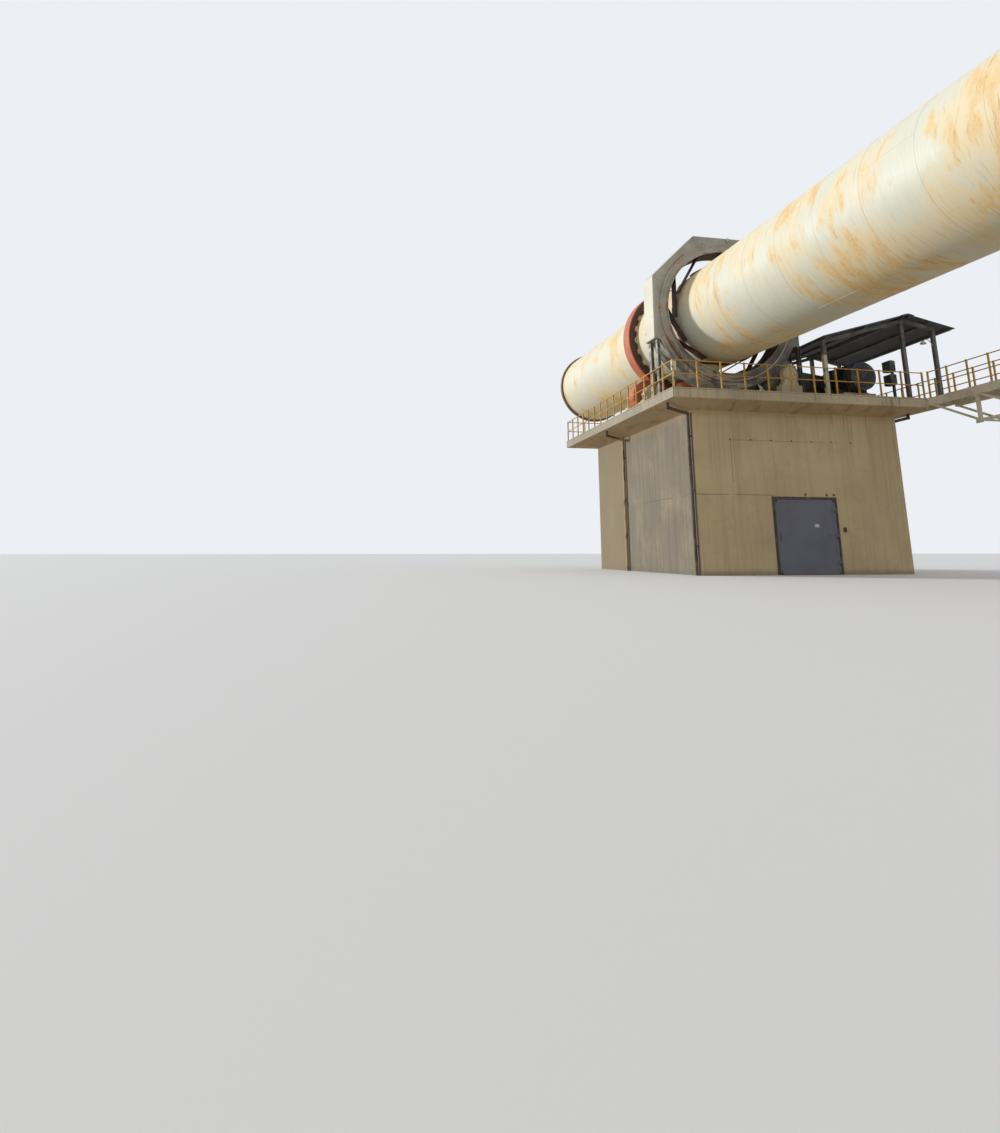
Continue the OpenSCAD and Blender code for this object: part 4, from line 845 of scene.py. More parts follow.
def copied(piece, places):
    """A copy of a piece at every place, all joined into one."""
    joined([piece])
    copies = []
    for place in places:
        copy = piece.copy()
        copy.data = piece.data.copy()
        scene.collection.objects.link(copy)
        copy.matrix_world = place
        copies.append(copy)
    bpy.data.objects.remove(piece)
    return joined(copies)


def done(piece, name, body, slot):
    """Names a finished piece, gives it its body and its finish, and says how large it is."""
    piece = joined([piece])
    piece.name = name
    piece.data.materials.clear()
    piece.data.materials.append(finishes[slot])
    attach(piece, body)
    print(name, len(piece.data.polygons), "faces")
    return piece


# %% [markdown]
# A place is a matrix, so it can hold a turn as well. Places could be worked out in the model's
# frame, but on a sloping tube they are plain numbers only along the kiln's axis or round it.

# %% Places, in the model and on the kiln


def shift(x, y, z):
    """A matrix that moves a piece."""
    return Matrix.Translation((x, y, z))


def turn(degrees, axis):
    """A matrix that turns a piece round x, y or z."""
    return Matrix.Rotation(math.radians(degrees), 4, axis)


def on_kiln(x, y=0, z=0):
    """A place given in the kiln's own frame, x along the tube from the first tyre."""
    return on_axis @ shift(x, y, z)


def round_kiln(x, degrees, radius):
    """A place on a circle round the kiln, with z pointing away from the axis; 0 is straight below."""
    return on_kiln(x) @ turn(180 + degrees, "X") @ shift(0, 0, radius)


def circle_spots(count, radius, first=0):
    """The (y, z) places that divide a circle round the kiln evenly, from straight below."""
    for number in range(count):
        angle = math.radians((number + first) * 360 / count)
        yield radius * math.sin(angle), -radius * math.cos(angle)


# %% [markdown]
# ## Bolts
# Everything that can be taken apart here is bolted. A bolt head is a hexagon with a chamfered top
# on a round washer. It is turned once for each size from a few faces, because hundreds of them
# are copied.

# %% One bolt for each size


def bolt(radius):
    """A hexagonal head on a washer, standing on the origin."""
    washer = turned([(radius * 1.35, 0), (radius * 1.35, radius * 0.2)], 12)
    head = turned([(radius, 0), (radius, radius * 0.75), (radius * 0.8, radius * 0.95)], 6)
    return joined([head, washer])


# %% [markdown]
# ## Weld seams of the shell
# The shell is rolled from plates. Each course is closed by a seam along the axis, set off from
# its neighbours' seams, and courses meet in seams round the tube. Bump in the paint could draw
# them, but would leave the tube's outline smooth. A seam is a thin ring that stands half out of
# the plate, so only a low bead shows.

# %% Rings and short seams on the tube
COURSE = 1.1
BEAD = 0.0025
TYRE_COURSE_HALF = 0.75
FIRST_RING = -6.45
GEAR_COURSE_START = 2.05
GEAR_COURSE_END = 2.95
MIDDLE_START = 4.3
LAST_RING = tyre_far + 5.8
SEAM_TURN = 137
spans = [
    (FIRST_RING, -TYRE_COURSE_HALF),
    (TYRE_COURSE_HALF, GEAR_COURSE_START),
    (GEAR_COURSE_END, MIDDLE_START),
    (MIDDLE_START, tyre_far - TYRE_COURSE_HALF),
    (tyre_far + TYRE_COURSE_HALF, LAST_RING),
]
ring_places = []
seam_places = []
for span_start, span_end in spans:
    count = max(1, round((span_end - span_start) / COURSE))
    pitch = (span_end - span_start) / count
    for number in range(count):
        x = span_start + number * pitch
        ring_places.append(on_kiln(x) @ turn(90, "Y"))
        middle = round_kiln(x + pitch / 2, SEAM_TURN * len(ring_places), shell_r)
        seam_places.append(middle @ Matrix.Scale(pitch, 4, (1, 0, 0)))
    ring_places.append(on_kiln(span_end) @ turn(90, "Y"))
rings = copied(hoop(shell_r, BEAD, 128), ring_places)
seams = copied(plate((-0.5, -BEAD, -BEAD), (0.5, BEAD, BEAD), BEAD * 0.8), seam_places)
done(joined([rings, seams]), "shell_weld_seams", "kiln", "shell_paint")
print(len(ring_places), "seams round the tube and", len(seam_places), "along it")

# %% [markdown]
# ## Bolts of the tyres' retaining blocks
# Between a tyre and the shell lie filler pads, and a block at each end of a pad keeps the tyre
# from walking. Two bolts hold each block. They are what shows in the photograph as dark dots on
# both sides of the tyre.

# %% Two bolts on each block
PADS = 24
PAD_SPAN = 360 / PADS * 0.6
BLOCK_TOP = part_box("tyre_pads_a")[1].y
BLOCK_OUT = 0.2353
BOLT_LEAN = 1.3
bolt_places = [
    round_kiln(tyre + side * BLOCK_OUT, number * 360 / PADS + PAD_SPAN / 2 + lean, BLOCK_TOP - SEAT)
    for tyre in (0, tyre_far)
    for side in (-1, 1)
    for number in range(PADS)
    for lean in (-BOLT_LEAN, BOLT_LEAN)
]
done(copied(bolt(0.013), bolt_places), "retaining_block_bolts", "kiln", "spring_steel")

# %% [markdown]
# ## Lugs of the girth gear
# Seen through the guard's opening, the gear's rim carries brown lugs, one where each spring plate
# ends, with daylight between them. A lug is a block with two cheeks and two nuts on the plate. It is
# made from a block whose ends are drawn out.

# %% Twelve lugs inside the gear's rim
SPRINGS = 12
GEAR_INSIDE = 1.53875
PLATE_LEVEL = shell_r + 0.018
LUG_END = math.sqrt(GEAR_INSIDE ** 2 - PLATE_LEVEL ** 2)
CHEEK_OUT = 0.1
lug = plate((-0.12, LUG_END - 0.17, PLATE_LEVEL - 0.03), (0.12, LUG_END, PLATE_LEVEL + 0.012), 0.006)
lug = raised(lug, lambda middle, normal: abs(normal.x) > 0.9, 0.004, 0.012)
cheek = plate((-0.012, LUG_END - 0.14, PLATE_LEVEL - 0.06), (0.012, LUG_END + 0.02, PLATE_LEVEL + 0.07))
cheeks = copied(cheek, [shift(-CHEEK_OUT, 0, 0), shift(CHEEK_OUT, 0, 0)])
nuts = copied(bolt(0.016), [shift(x, LUG_END - 0.09, PLATE_LEVEL + 0.011) for x in (-0.05, 0.05)])
lug_places = [on_kiln(gear_at) @ turn(360 / SPRINGS * number, "X") for number in range(SPRINGS)]
done(copied(joined([lug, nuts, cheeks]), lug_places), "girth_gear_lugs", "kiln", "spring_steel")

# %% [markdown]
# ## Bolts, rims, strips and a lamp on the gear guard
# The guard is bolted up from segments. Two round bars stiffen each side plate round its opening,
# strips cover the joints of the side plates at the corners of the octagon, bolts run round between
# the outer bar and the edge, and a small white lamp stands on a bracket at the top.

# %% Guard bolts, rims and cover strips
GUARD_HALF = 0.25
GUARD_SPLIT = 0.7
SPLIT_CLEAR = 0.06
BOLT_CIRCLE = 1.67
GUARD_BOLTS = 60
STRIP_LOW = 1.64
STRIP_HIGH = 1.88
bolt_places = [
    on_kiln(gear_at + side * (GUARD_HALF - SEAT), y, z) @ turn(side * 90, "Y")
    for side in (-1, 1)
    for y, z in circle_spots(GUARD_BOLTS, BOLT_CIRCLE, 0.5)
    if abs(z + GUARD_SPLIT) > SPLIT_CLEAR
]
done(copied(bolt(0.012), bolt_places), "guard_bolts", "root", "guard_paint")

rims = joined([hoop(INNER_RIM, 0.012, 160, 8), hoop(OUTER_RIM, 0.02, 160, 8)])
rim_places = [on_kiln(gear_at + side * GUARD_HALF) @ turn(90, "Y") for side in (-1, 1)]
done(copied(rims, rim_places), "guard_rims", "root", "shield_paint")

strip = plate((-0.03, STRIP_LOW, -0.004), (0.03, STRIP_HIGH, 0.004), 0.002)
rivets = copied(bolt(0.009), [shift(0, STRIP_LOW + up, 0.003) for up in (0.04, 0.12, 0.2)])
strip_places = [
    on_kiln(gear_at + side * (GUARD_HALF + 0.003)) @ turn(corner, "X") @ turn(side * 90, "Y")
    for side in (-1, 1)
    for corner in (22.5, 67.5, 112.5, 157.5)
]
done(copied(joined([strip, rivets]), strip_places), "guard_cover_strips", "root", "guard_paint")

# %% [markdown]
# The lamp is a turned foot, glass and cap. Its bracket holds it just below the guard's top edge.

# %% A lamp on a bracket
levels = [
    (0.02, 0), (0.034, 0.004), (0.034, 0.02), (0.026, 0.024), (0.034, 0.05), (0.03, 0.072), (0.014, 0.084)]
arm = pipe([(-0.05, 0, -0.05), (0, 0, -0.05), (0, 0, 0.004)], 0.008)
lamp = joined([turned(levels, 20), arm])
lamp.matrix_world = on_kiln(gear_at + GUARD_HALF + 0.05, 0.1, GUARD_EDGE - 0.09)
done(lamp, "guard_lamp", "root", "shield_paint")

# %% [markdown]
# ## Bearing housings
# A split housing has hold-down bolts in its foot, bolts through the flanges of its joint, a ring
# of bolts on its end cover and a ring to lift its cap by. All bolts of one housing are set once
# and the whole set is copied to every housing, which lie at the joints that turn their shafts.

# %% The bolts of a housing, and their copies
FOOT_ALONG = 0.36
FLANGE_ALONG = 0.3
BOLTS_ACROSS = 0.445
COVER_BOLTS = 8


def housing_bolts(length, width, up, down, foot, cover_r, cover_t):
    """The bolts and lifting ring of a bearing housing whose shaft lies along x."""
    corners = [(x * length, y * width * BOLTS_ACROSS) for x in (-1, 1) for y in (-1, 1)]
    feet = [shift(x * FOOT_ALONG, y, foot - down) for x, y in corners]
    flange = [shift(x * FLANGE_ALONG, y, foot * 0.29) for x, y in corners]
    face = length / 2 + cover_t - SEAT
    cover = [
        turn(360 / COVER_BOLTS * number + 22, "X") @ shift(face, 0, cover_r) @ turn(90, "Y")
        for number in range(COVER_BOLTS)
    ]
    ring = hoop(0.03, 0.007, 20, 6)
    ring.matrix_world = shift(0, 0, up + 0.026) @ turn(90, "X")
    neck = turned([(0.02, up - 0.004), (0.02, up + 0.006), (0.01, up + 0.01)], 12)
    return joined([
        copied(bolt(0.016), feet), copied(bolt(0.010), flange), copied(bolt(0.008), cover), ring, neck])


def axis_place(joint):
    """Where a joint lies, in the kiln's own frame."""
    return on_axis.inverted() @ Vector(joints[joint]["pos_m"])


BEARING_OUT = 0.41
PINION_BEARING_OUT = 0.421
ROLLERS = ("roller_a_left", "roller_a_right", "roller_b_left", "roller_b_right")


def both_ends(joint, out):
    """The places of the two housings of a shaft, each facing away from its middle."""
    return [on_kiln(*axis_place(joint)) @ turn(end, "Z") @ shift(out, 0, 0) for end in (0, 180)]


roller_places = [place for name in ROLLERS for place in both_ends(name + "_spin", BEARING_OUT)]
roller_bolts = copied(housing_bolts(0.26, 0.5, 0.21, 0.2, 0.06, 0.14, 0.02), roller_places)
done(roller_bolts, "bearing_bolts", "root", "bearing_paint")
pinion_x, pinion_y, pinion_z = axis_place("pinion_spin")
pinion_places = both_ends("pinion_spin", PINION_BEARING_OUT)
pinion_bolts = copied(housing_bolts(0.15, 0.38, 0.171, 0.26, 0.06, 0.122, 0.02), pinion_places)
done(pinion_bolts, "pinion_bearing_bolts", "root", "bearing_paint")

# %% [markdown]
# Grease cups stand on the pinion's bearing by the camera, two small white knobs in the
# photograph. They are turned pieces on short pipes.

# %% Grease cups
cup = turned([(0.006, 0), (0.006, 0.03), (0.02, 0.034), (0.024, 0.05), (0.024, 0.078), (0.016, 0.09)], 16)
cup_x = pinion_x + PINION_BEARING_OUT
cups = [on_kiln(cup_x + lean, pinion_y + 0.05, pinion_z + 0.15) for lean in (-0.03, 0.04)]
done(copied(cup, cups), "grease_cups", "root", "shield_paint")

# %% [markdown]
# ## Rings on the rollers
# The sides of a support roller are turned with a raised hub and rim and a hollow between them. A
# whole roller could be turned in place of the solid one, but that has the right size already. So
# thin rings are set on its flat faces, and they turn with it.

# %% Hub and rim of each roller
ROLLER_HALF = 0.23
HUB_RADIUS = 0.2
RIM_RADIUS = 0.37
HUB_BOLTS = 8
for name in ROLLERS:
    x, y, z = axis_place(name + "_spin")
    hub = turned([(HUB_RADIUS, 0), (HUB_RADIUS, 0.012), (HUB_RADIUS - 0.015, 0.018)], 40)
    rim = hoop(RIM_RADIUS, 0.012, 64)
    spots = [
        turn(360 / HUB_BOLTS * number, "Z") @ shift(HUB_RADIUS - 0.04, 0, 0.017)
        for number in range(HUB_BOLTS)]
    side = joined([hub, rim, copied(bolt(0.012), spots)])
    faces = [on_kiln(x + end * ROLLER_HALF, y, z) @ turn(end * 90, "Y") for end in (-1, 1)]
    done(copied(side, faces), name + "_faces", name, "roller_steel")

# %% [markdown]
# ## The motor
# The motor's fan sits behind a grille of rings and bars at the end away from the gearbox, which
# faces the camera under the canopy. A lifting ring stands on top, four bolts hold the lid of the
# terminal box, and a cable conduit drops from that box to the plinth.

# %% Grille, lifting ring, lid and conduit
MOTOR_LENGTH = 1.05
MOTOR_RADIUS = 0.34
MOTOR_START = 2.104
MOTOR_ACROSS = 1.69
LID_X = 0.4225
FOOT_ACROSS = 0.265
FOOT_LEVEL = -0.331
motor_frame = on_kiln(MOTOR_START, pinion_y + MOTOR_ACROSS, pinion_z)
grille = [hoop(0.05 + 0.042 * number, 0.005, 40, 4) for number in range(6)]
bar = plate((0, -0.004, -0.003), (0.29, 0.004, 0.004), 0.001)
bars = copied(bar, [turn(30 * number, "Z") for number in range(12)])
cap = turned([(0.05, 0), (0.05, 0.008), (0.03, 0.014)])
grille = joined(grille + [bars, cap])
grille.matrix_world = motor_frame @ shift(MOTOR_LENGTH + 0.002, 0, 0) @ turn(90, "Y")
ring = hoop(0.035, 0.009, 24, 8)
ring.matrix_world = motor_frame @ shift(0.42, 0, MOTOR_RADIUS + 0.03) @ turn(90, "X")
lid_bolts = copied(bolt(0.009), [
    motor_frame @ shift(LID_X + x * 0.14, -0.43, 0.06 + z * 0.1) @ turn(90, "X")
    for x in (-1, 1) for z in (-1, 1)])
route = [(0.42, -0.38, -0.05), (0.42, -0.38, -0.2), (0.5, -0.42, -0.3), (0.5, -0.42, -0.36)]
conduit = pipe(route, 0.014, True)
conduit.matrix_world = motor_frame
feet = copied(bolt(0.014), [
    motor_frame @ shift(x, side * FOOT_ACROSS, FOOT_LEVEL) for x in (0.1, 0.4, 0.7) for side in (-1, 1)])
done(joined([grille, ring, lid_bolts, conduit, feet]), "motor_fittings", "root", "motor_paint")

# %% [markdown]
# ## The gearbox
# The casing is bolted along its joint, its foot and its inspection lid, and a breather stands on
# it. A run of cream lubrication pipe with two valves lies on the plinth before it.

# %% Flange bolts and breather
GEARBOX_START = 0.984
GEARBOX_LENGTH = 0.76
GEARBOX_NEAR = pinion_y - 0.36
GEARBOX_FAR = pinion_y + MOTOR_ACROSS + 0.3
FLANGE = 0.018
FOOT_BOLTS = -0.224
LID_LEVEL = 0.4475
ACROSS_GAPS = 14
ALONG_GAPS = 7


def on_gearbox(x, y, z):
    """A place on the gearbox, x from its uphill end and z from the pinion's axis."""
    return on_kiln(GEARBOX_START + x, y, pinion_z + z)


bolt_places = []
for level in (FLANGE, FOOT_BOLTS):
    for number in range(ACROSS_GAPS + 1):
        across = GEARBOX_NEAR + number / ACROSS_GAPS * (GEARBOX_FAR - GEARBOX_NEAR)
        bolt_places += [on_gearbox(end, across, level) for end in (-FLANGE, GEARBOX_LENGTH + FLANGE)]
    for number in range(1, ALONG_GAPS):
        bolt_places += [
            on_gearbox(number * GEARBOX_LENGTH / ALONG_GAPS, across, level)
            for across in (GEARBOX_NEAR - FLANGE, GEARBOX_FAR + FLANGE)]
box_bolts = copied(bolt(0.011), bolt_places)
lid_start, lid_end = pinion_y - 0.13, pinion_y + 0.457
lid_places = [
    on_gearbox(share * GEARBOX_LENGTH, lid_start + number * (lid_end - lid_start) / 5, LID_LEVEL)
    for share in (0.18, 0.82) for number in range(6)]
lid_bolts = copied(bolt(0.009), lid_places)
breather = turned([(0.012, 0), (0.012, 0.04), (0.032, 0.044), (0.034, 0.08), (0.02, 0.092)], 20)
breather.matrix_world = on_gearbox(0.38, pinion_y + 0.16, LID_LEVEL - 0.0005)
done(joined([box_bolts, lid_bolts, breather]), "gearbox_fittings", "root", "gearbox_paint")

# %% [markdown]
# The lubrication pipe is bent round two corners, and a valve is a turned body with a small wheel.

# %% Pipe and valves on the plinth
PLINTH_TOP = -0.26
RUN_LEVEL = -0.11
pipe_y = GEARBOX_NEAR - 0.045
route = [(0.1, PLINTH_TOP + 0.01), (0.1, RUN_LEVEL - 0.02), (0.16, RUN_LEVEL), (0.5, RUN_LEVEL),
         (0.56, RUN_LEVEL - 0.02), (0.56, PLINTH_TOP + 0.01)]
lube = pipe([(x, pipe_y, z) for x, z in route], 0.013)
valve = turned([(0.014, 0), (0.024, 0.006), (0.024, 0.034), (0.009, 0.038), (0.009, 0.07)], 16)
wheel = hoop(0.026, 0.005, 20)
wheel.matrix_world = shift(0, 0, 0.068)
valves = copied(joined([valve, wheel]), [shift(x, pipe_y, RUN_LEVEL - 0.005) for x in (0.24, 0.42)])
lube = joined([lube, valves])
lube.matrix_world = on_gearbox(0, 0, 0)
done(lube, "lubrication_pipe", "root", "bearing_paint")

# %% [markdown]
# ## The canopy's roof
# The roof over the drive is corrugated sheet on purlins, with a folded cap on the ridge. The
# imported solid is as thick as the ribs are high, so the real sheet takes its place. A grid is cut
# into narrow strips, every second pair of rows of points is lifted, and a Solidify modifier gives
# it the thickness of sheet. Two such slopes and the cap make the roof.

# %% Corrugated slopes and a ridge cap
RIB_PITCH = 0.06
RIB_HEIGHT = 0.024
SHEET = 0.002
RIDGE_ACROSS = 4.09
CAP_WIDTH = 0.17
OUTER_EAVE = slab_top + 1.68
roof_low, roof_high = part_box("canopy_roof")
roof_length = roof_high.x - roof_low.x
roof_middle = (roof_low.x + roof_high.x) / 2
eave_in = Vector((roof_low.y + 0.002, roof_low.z + 0.002))
ridge = Vector((RIDGE_ACROSS, roof_high.z - 0.032))
eave_out = Vector((roof_high.y - 0.006, OUTER_EAVE + 0.002))


def lean_of(run):
    """How steep a (y, z) direction is, in degrees."""
    return math.degrees(math.atan2(run.y, run.x))


def corrugated(start, end):
    """A slope of ribbed sheet from one (y, z) place to another."""
    run = end - start
    steps = 4 * round(roof_length / RIB_PITCH)
    deselect()
    bpy.ops.mesh.primitive_grid_add(x_subdivisions=steps, y_subdivisions=2, size=1)
    sheet = bpy.context.object
    sheet.scale = (roof_length, run.length, 1)
    bpy.ops.object.transform_apply()
    pick(sheet, lambda middle, normal: False)
    bpy.ops.mesh.select_mode(type="VERT")
    bpy.ops.object.mode_set(mode="OBJECT")
    for point in sheet.data.vertices:
        point.select = round((point.co.x / roof_length + 0.5) * steps) % 4 in (1, 2)
    bpy.ops.object.mode_set(mode="EDIT")
    bpy.ops.transform.translate(value=(0, 0, RIB_HEIGHT))
    leave()
    thick = sheet.modifiers.new("thickness", "SOLIDIFY")
    thick.thickness = SHEET
    thick.offset = 1
    bpy.ops.object.modifier_apply(modifier="thickness")
    sheet.matrix_world = shift(roof_middle, *((start + end) / 2)) @ turn(lean_of(run), "X")
    return sheet


def cap_wing(down):
    """Half of the ridge cap, which lies along a (y, z) direction down one slope."""
    wing = plate((-roof_length / 2, 0, 0.027), (roof_length / 2, CAP_WIDTH, 0.03), 0.001)
    lean = lean_of(down)
    if down.x < 0:
        wing = copied(wing, [turn(180, "Z")])
        lean = lean - 180
    wing.matrix_world = shift(roof_middle, *ridge) @ turn(lean, "X")
    return wing


slopes = [corrugated(eave_in, ridge), corrugated(ridge, eave_out)]
wings = [cap_wing(eave - ridge) for eave in (eave_in, eave_out)]
roof = done(joined(slopes + wings), "canopy_sheet", "root", "roof_sheet")
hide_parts("canopy_roof")

# %% [markdown]
# A lamp hangs on a bent arm from the outer post, under the roof.

# %% A lamp under the roof
LAMP_OUT = 0.28
post_x = roof_high.x - 0.19
post_y = 4.835
lamp_z = slab_top + 1.42
bends = [(0.04, -0.12), (0.1, -0.02), (0.2, 0.02), (LAMP_OUT, -0.03)]
arm = pipe([(post_x, post_y - out, lamp_z + up) for out, up in bends], 0.009, True)
shade = turned([(0.07, 0), (0.066, 0.02), (0.04, 0.05), (0.016, 0.06), (0.014, 0.075)])
shade.matrix_world = shift(post_x, post_y - LAMP_OUT, lamp_z - 0.09)
done(joined([arm, shade]), "canopy_lamp", "root", "shield_paint")

# %% [markdown]
# ## The door and the wall round it
# The leaf is plain sheet in a low frame of flat bars, with a small bare plate. Three short lugs
# and a small switch box are fixed to the wall by the door, and caps close the holes of the
# shuttering ties along the upper joint.

# %% Frame and bare plate on the leaf
LEAF_FACE = front_face + 0.012
LEAF_WIDTH = 1.388
LEAF_TOP = 1.53
MARGIN = 0.012
BAR = 0.038
leaf_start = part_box("door_leaf")[0].y + 0.001
bar_low, bar_high = leaf_start + MARGIN, leaf_start + LEAF_WIDTH - MARGIN
foot, head = 0.014, LEAF_TOP - 0.014
bars = [
    plate((LEAF_FACE - SEAT, y_low, z_low), (LEAF_FACE + 0.004, y_high, z_high), 0.001)
    for y_low, z_low, y_high, z_high in (
        (bar_low, foot, bar_low + BAR, head),
        (bar_high - BAR, foot, bar_high, head),
        (bar_low, foot, bar_high, foot + BAR),
        (bar_low, head - BAR, bar_high, head),
    )
]
done(joined(bars), "door_leaf_frame", "door", "door_paint")
bare = plate((LEAF_FACE - SEAT, 1.43, 0.96), (LEAF_FACE + 0.003, 1.53, 1.02), 0.001)
done(bare, "door_bare_plate", "door", "shield_paint")

# %% Lugs, tie caps and a switch box on the wall
TIE_START = -0.35
TIE_GAP = 0.475
TIES = 7
lugs = [
    plate((front_face - 0.002, y, z), (front_face + 0.02, y + 0.03, z + 0.045))
    for y, z in ((1.265, 1.61), (1.77, 1.605), (1.94, 1.61))]
tie = turned([(0.018, 0), (0.018, 0.003), (0.012, 0.006)], 12)
ties = copied(tie, [
    shift(front_face - SEAT, TIE_START + TIE_GAP * number, TIE_ROW + 0.002) @ turn(90, "Y")
    for number in range(TIES)])
switch = plate((front_face - 0.002, 2.1, 0.86), (front_face + 0.03, 2.16, 0.96), 0.005)
done(joined(lugs + [ties, switch]), "wall_fittings", "root", "pipe_steel")

# %% [markdown]
# ## Gussets of the walkway
# Where the truss's bars meet, a plate is bolted over the joint. One gusset with its four bolts is
# copied to every panel point of both trusses.

# %% Gussets at the panel points
BAY = 1.25
BAYS = 6
truss_low, truss_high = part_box("truss_outer")
inner_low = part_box("truss_inner")[0]
gusset = plate((-0.09, -0.004, -0.06), (0.09, 0.004, 0.06), 0.002)
spots = [shift(x, -0.003, z) @ turn(90, "X") for x in (-0.06, 0.06) for z in (-0.03, 0.03)]
gusset = joined([gusset, copied(bolt(0.008), spots)])
gusset_places = [
    shift(slab_high.x + number * BAY, face_y, chord)
    for face_y in (inner_low.y - 0.003, truss_low.y - 0.003)
    for number in range(1, BAYS)
    for chord in (truss_low.z + 0.03, truss_high.z - 0.03)
]
done(copied(gusset, gusset_places), "truss_gussets", "root", "truss_paint")

# %% [markdown]
# ## Railing details
# The tubes of a real railing are held to their posts by small welded knuckles, and the post feet
# stand on plates with two bolts. They are set at every post on three sides of the first pier,
# round the second pier and along the inner side of the walkway, from the same spacing as the posts.

# %% Knuckles and foot plates
RAIL_TOP = 0.59
POST_GAP = 0.52
EDGE = 0.04


def rail_places(start, end):
    """The places of the posts between two ends of a railing."""
    run = end - start
    count = max(1, round(run.length / POST_GAP))
    return [start + run * number / count for number in range(count + 1)]


def rail_corners(low, high):
    """The four corners of the railing on a slab, in turn round it."""
    near, far = low.y + EDGE, high.y - EDGE
    left, right = low.x + EDGE, high.x - EDGE
    return [Vector((x, y, high.z)) for x, y in ((left, near), (right, near), (right, far), (left, far))]


first = rail_corners(slab_low, slab_high)
second = rail_corners(*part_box("pier_b_slab"))
walk = [Vector((x, slab_high.y + EDGE, slab_top)) for x in (slab_high.x + EDGE, truss_high.x - EDGE)]
sides = [
    (first[0], first[1]), (first[1], first[2]), (first[0], first[3]),
    (second[0], second[1]), (second[3], second[2]), (second[0], second[3]), (second[1], second[2]),
    walk,
]
posts = [place for start, end in sides for place in rail_places(start, end)]
foot = plate((-0.035, -0.035, 0), (0.035, 0.035, 0.008), 0.002)
foot_bolts = copied(bolt(0.006), [shift(side * 0.025, side * 0.025, 0.007) for side in (-1, 1)])
knuckle = plate((-0.018, -0.018, RAIL_TOP - 0.004), (0.018, 0.018, RAIL_TOP + 0.006))
fitting = joined([foot, foot_bolts, knuckle])
done(copied(fitting, [shift(*place) for place in posts]), "railing_fittings", "root", "rail_paint")

# %% [markdown]
# A small junction box is strapped to the corner post nearest the camera. It is a bevelled block
# with a raised lid, and a conduit goes down from it to the slab.

# %% A box on the corner post
BOX_FOOT = slab_top + 0.34
BOX_HEAD = slab_top + 0.54
corner = first[1]
box = plate(
    (corner.x + 0.012, corner.y - 0.05, BOX_FOOT), (corner.x + 0.07, corner.y + 0.05, BOX_HEAD), 0.006)
box = raised(box, lambda middle, normal: normal.x > 0.9, 0.01, 0.006)
drop = pipe([(corner.x + 0.03, corner.y, z) for z in (BOX_FOOT + 0.005, slab_top + 0.002)], 0.009)
done(joined([box, drop]), "rail_corner_box", "root", "pad_paint")

# %% [markdown]
# ## Bolts of the end rings
# The castings at both ends of the tube are held by bolts through the shell, set round on the
# rings' inner sides.

# %% Bolts beside the end rings
RING_BOLT_RADIUS = shell_r + 0.03
END_RING = 0.09
FEED_END = -6.7
DISCHARGE_END = tyre_far + 6.0
RING_BOLTS = 36
bolt_places = [
    on_kiln(ring_x - side * SEAT, y, z) @ turn(side * 90, "Y")
    for ring_x, side in ((FEED_END + END_RING, 1), (DISCHARGE_END - END_RING, -1))
    for y, z in circle_spots(RING_BOLTS, RING_BOLT_RADIUS)
]
done(copied(bolt(0.012), bolt_places), "end_ring_bolts", "kiln", "end_casting")

# %% [markdown]
# ## Shield bolts
# Each heat shield is bolted to its two posts, low down and half way up.

# %% Bolts on the heat shields
SHIELD_OUT = 0.89
SHIELD_ACROSS = 1.12265
SHIELD_BOTTOM = -1.1812
shield_places = []
for side in (-1, 1):
    shield_face = side * (SHIELD_ACROSS + 0.009)
    for end in (-1, 1):
        shield_x = tyre_far + end * SHIELD_OUT
        shield_places += [
            on_kiln(shield_x + x, shield_face, SHIELD_BOTTOM + z) @ turn(-side * 90, "X")
            for x in (-0.21, 0.21) for z in (0.1, 0.34)]
done(copied(bolt(0.01), shield_places), "heat_shield_bolts", "root", "pipe_steel")

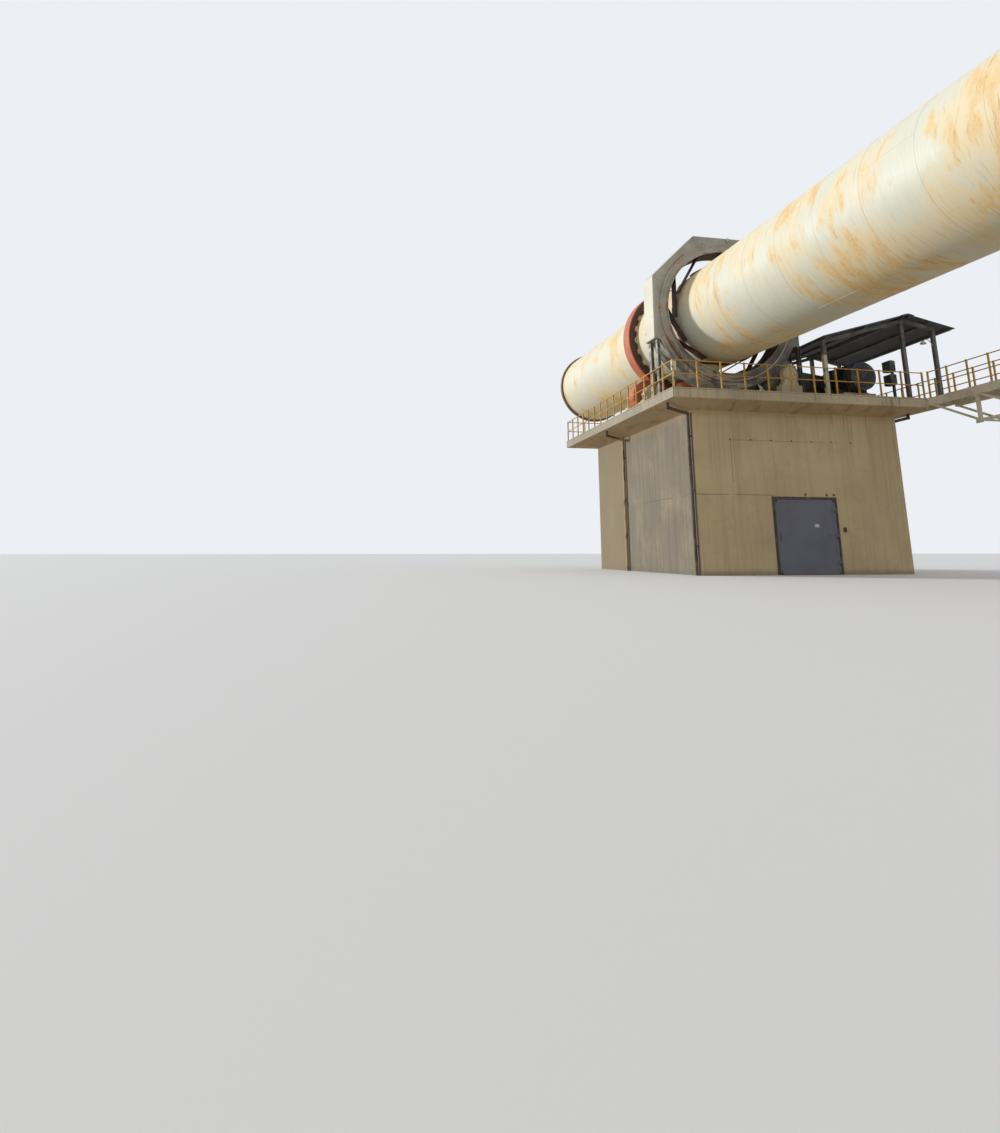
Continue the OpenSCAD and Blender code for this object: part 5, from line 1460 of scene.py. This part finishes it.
# %% [markdown]
# ## Floor and light
# The studio is a plain pale floor under an even sky, with one low sun on the feed side and to the
# left of the camera, as in the photograph. The floor is part of the stage and not of the object.
# What the camera sees is a pale floor and a white sky. Left so, both would throw more light on the
# kiln than the photograph shows, so rays that light the object meet a duller floor and sky. The
# Light Path node tells these rays from the ones that are seen, straight or by gloss.

# %% Floor and sky
FLOOR_HALF = 150
FLOOR_MIDDLE = (10, 0, 0)
SKY_LIGHT = 0.68


def seen_rays(tree):
    """1 for the rays of the camera, of gloss and of glass, and 0 for those that carry light."""
    kinds = ("Is Camera Ray", "Is Glossy Ray", "Is Transmission Ray")
    camera_ray, glossy_ray, through_ray = (Wire(tree).node("LightPath", out=kind) for kind in kinds)
    return camera_ray.math("MAXIMUM", glossy_ray).math("MAXIMUM", through_ray)


deselect()
bpy.ops.mesh.primitive_plane_add(size=2 * FLOOR_HALF, location=FLOOR_MIDDLE)
floor = bpy.context.object
floor.name = "floor"
floor_material, floor_tree = new_material("floor_pale")
start = Wire(floor_tree)
seen_floor = start.node("BsdfPrincipled", None, {"Base Color": paint(226, 225, 222), "Roughness": 0.9})
dull_floor = start.node("BsdfDiffuse", None, {"Color": paint(178, 170, 156)})
surface(floor_tree, start.node("MixShader", None, {0: seen_rays(floor_tree), 1: dull_floor, 2: seen_floor}))
floor.data.materials.append(floor_material)

world = bpy.data.worlds.new("sky")
scene.world = world
world.use_nodes = True
background = world.node_tree.nodes["Background"]
background.inputs["Color"].default_value = paint(236, 239, 244)
sky_strength = SKY_LIGHT + (1 - SKY_LIGHT) * seen_rays(world.node_tree)
world.node_tree.links.new(sky_strength.socket, background.inputs["Strength"])

# %% The low sun
SUN_ENERGY = 2.65
SUN_ANGLE = 6
towards_sun = Vector((-0.54, -0.78, 0.26))
bpy.ops.object.light_add(type="SUN")
key = bpy.context.object
key.name = "key_light"
key.data.energy = SUN_ENERGY
key.data.angle = math.radians(SUN_ANGLE)
key.rotation_euler = towards_sun.to_track_quat("Z", "Y").to_euler()
scene.view_settings.view_transform = "Standard"
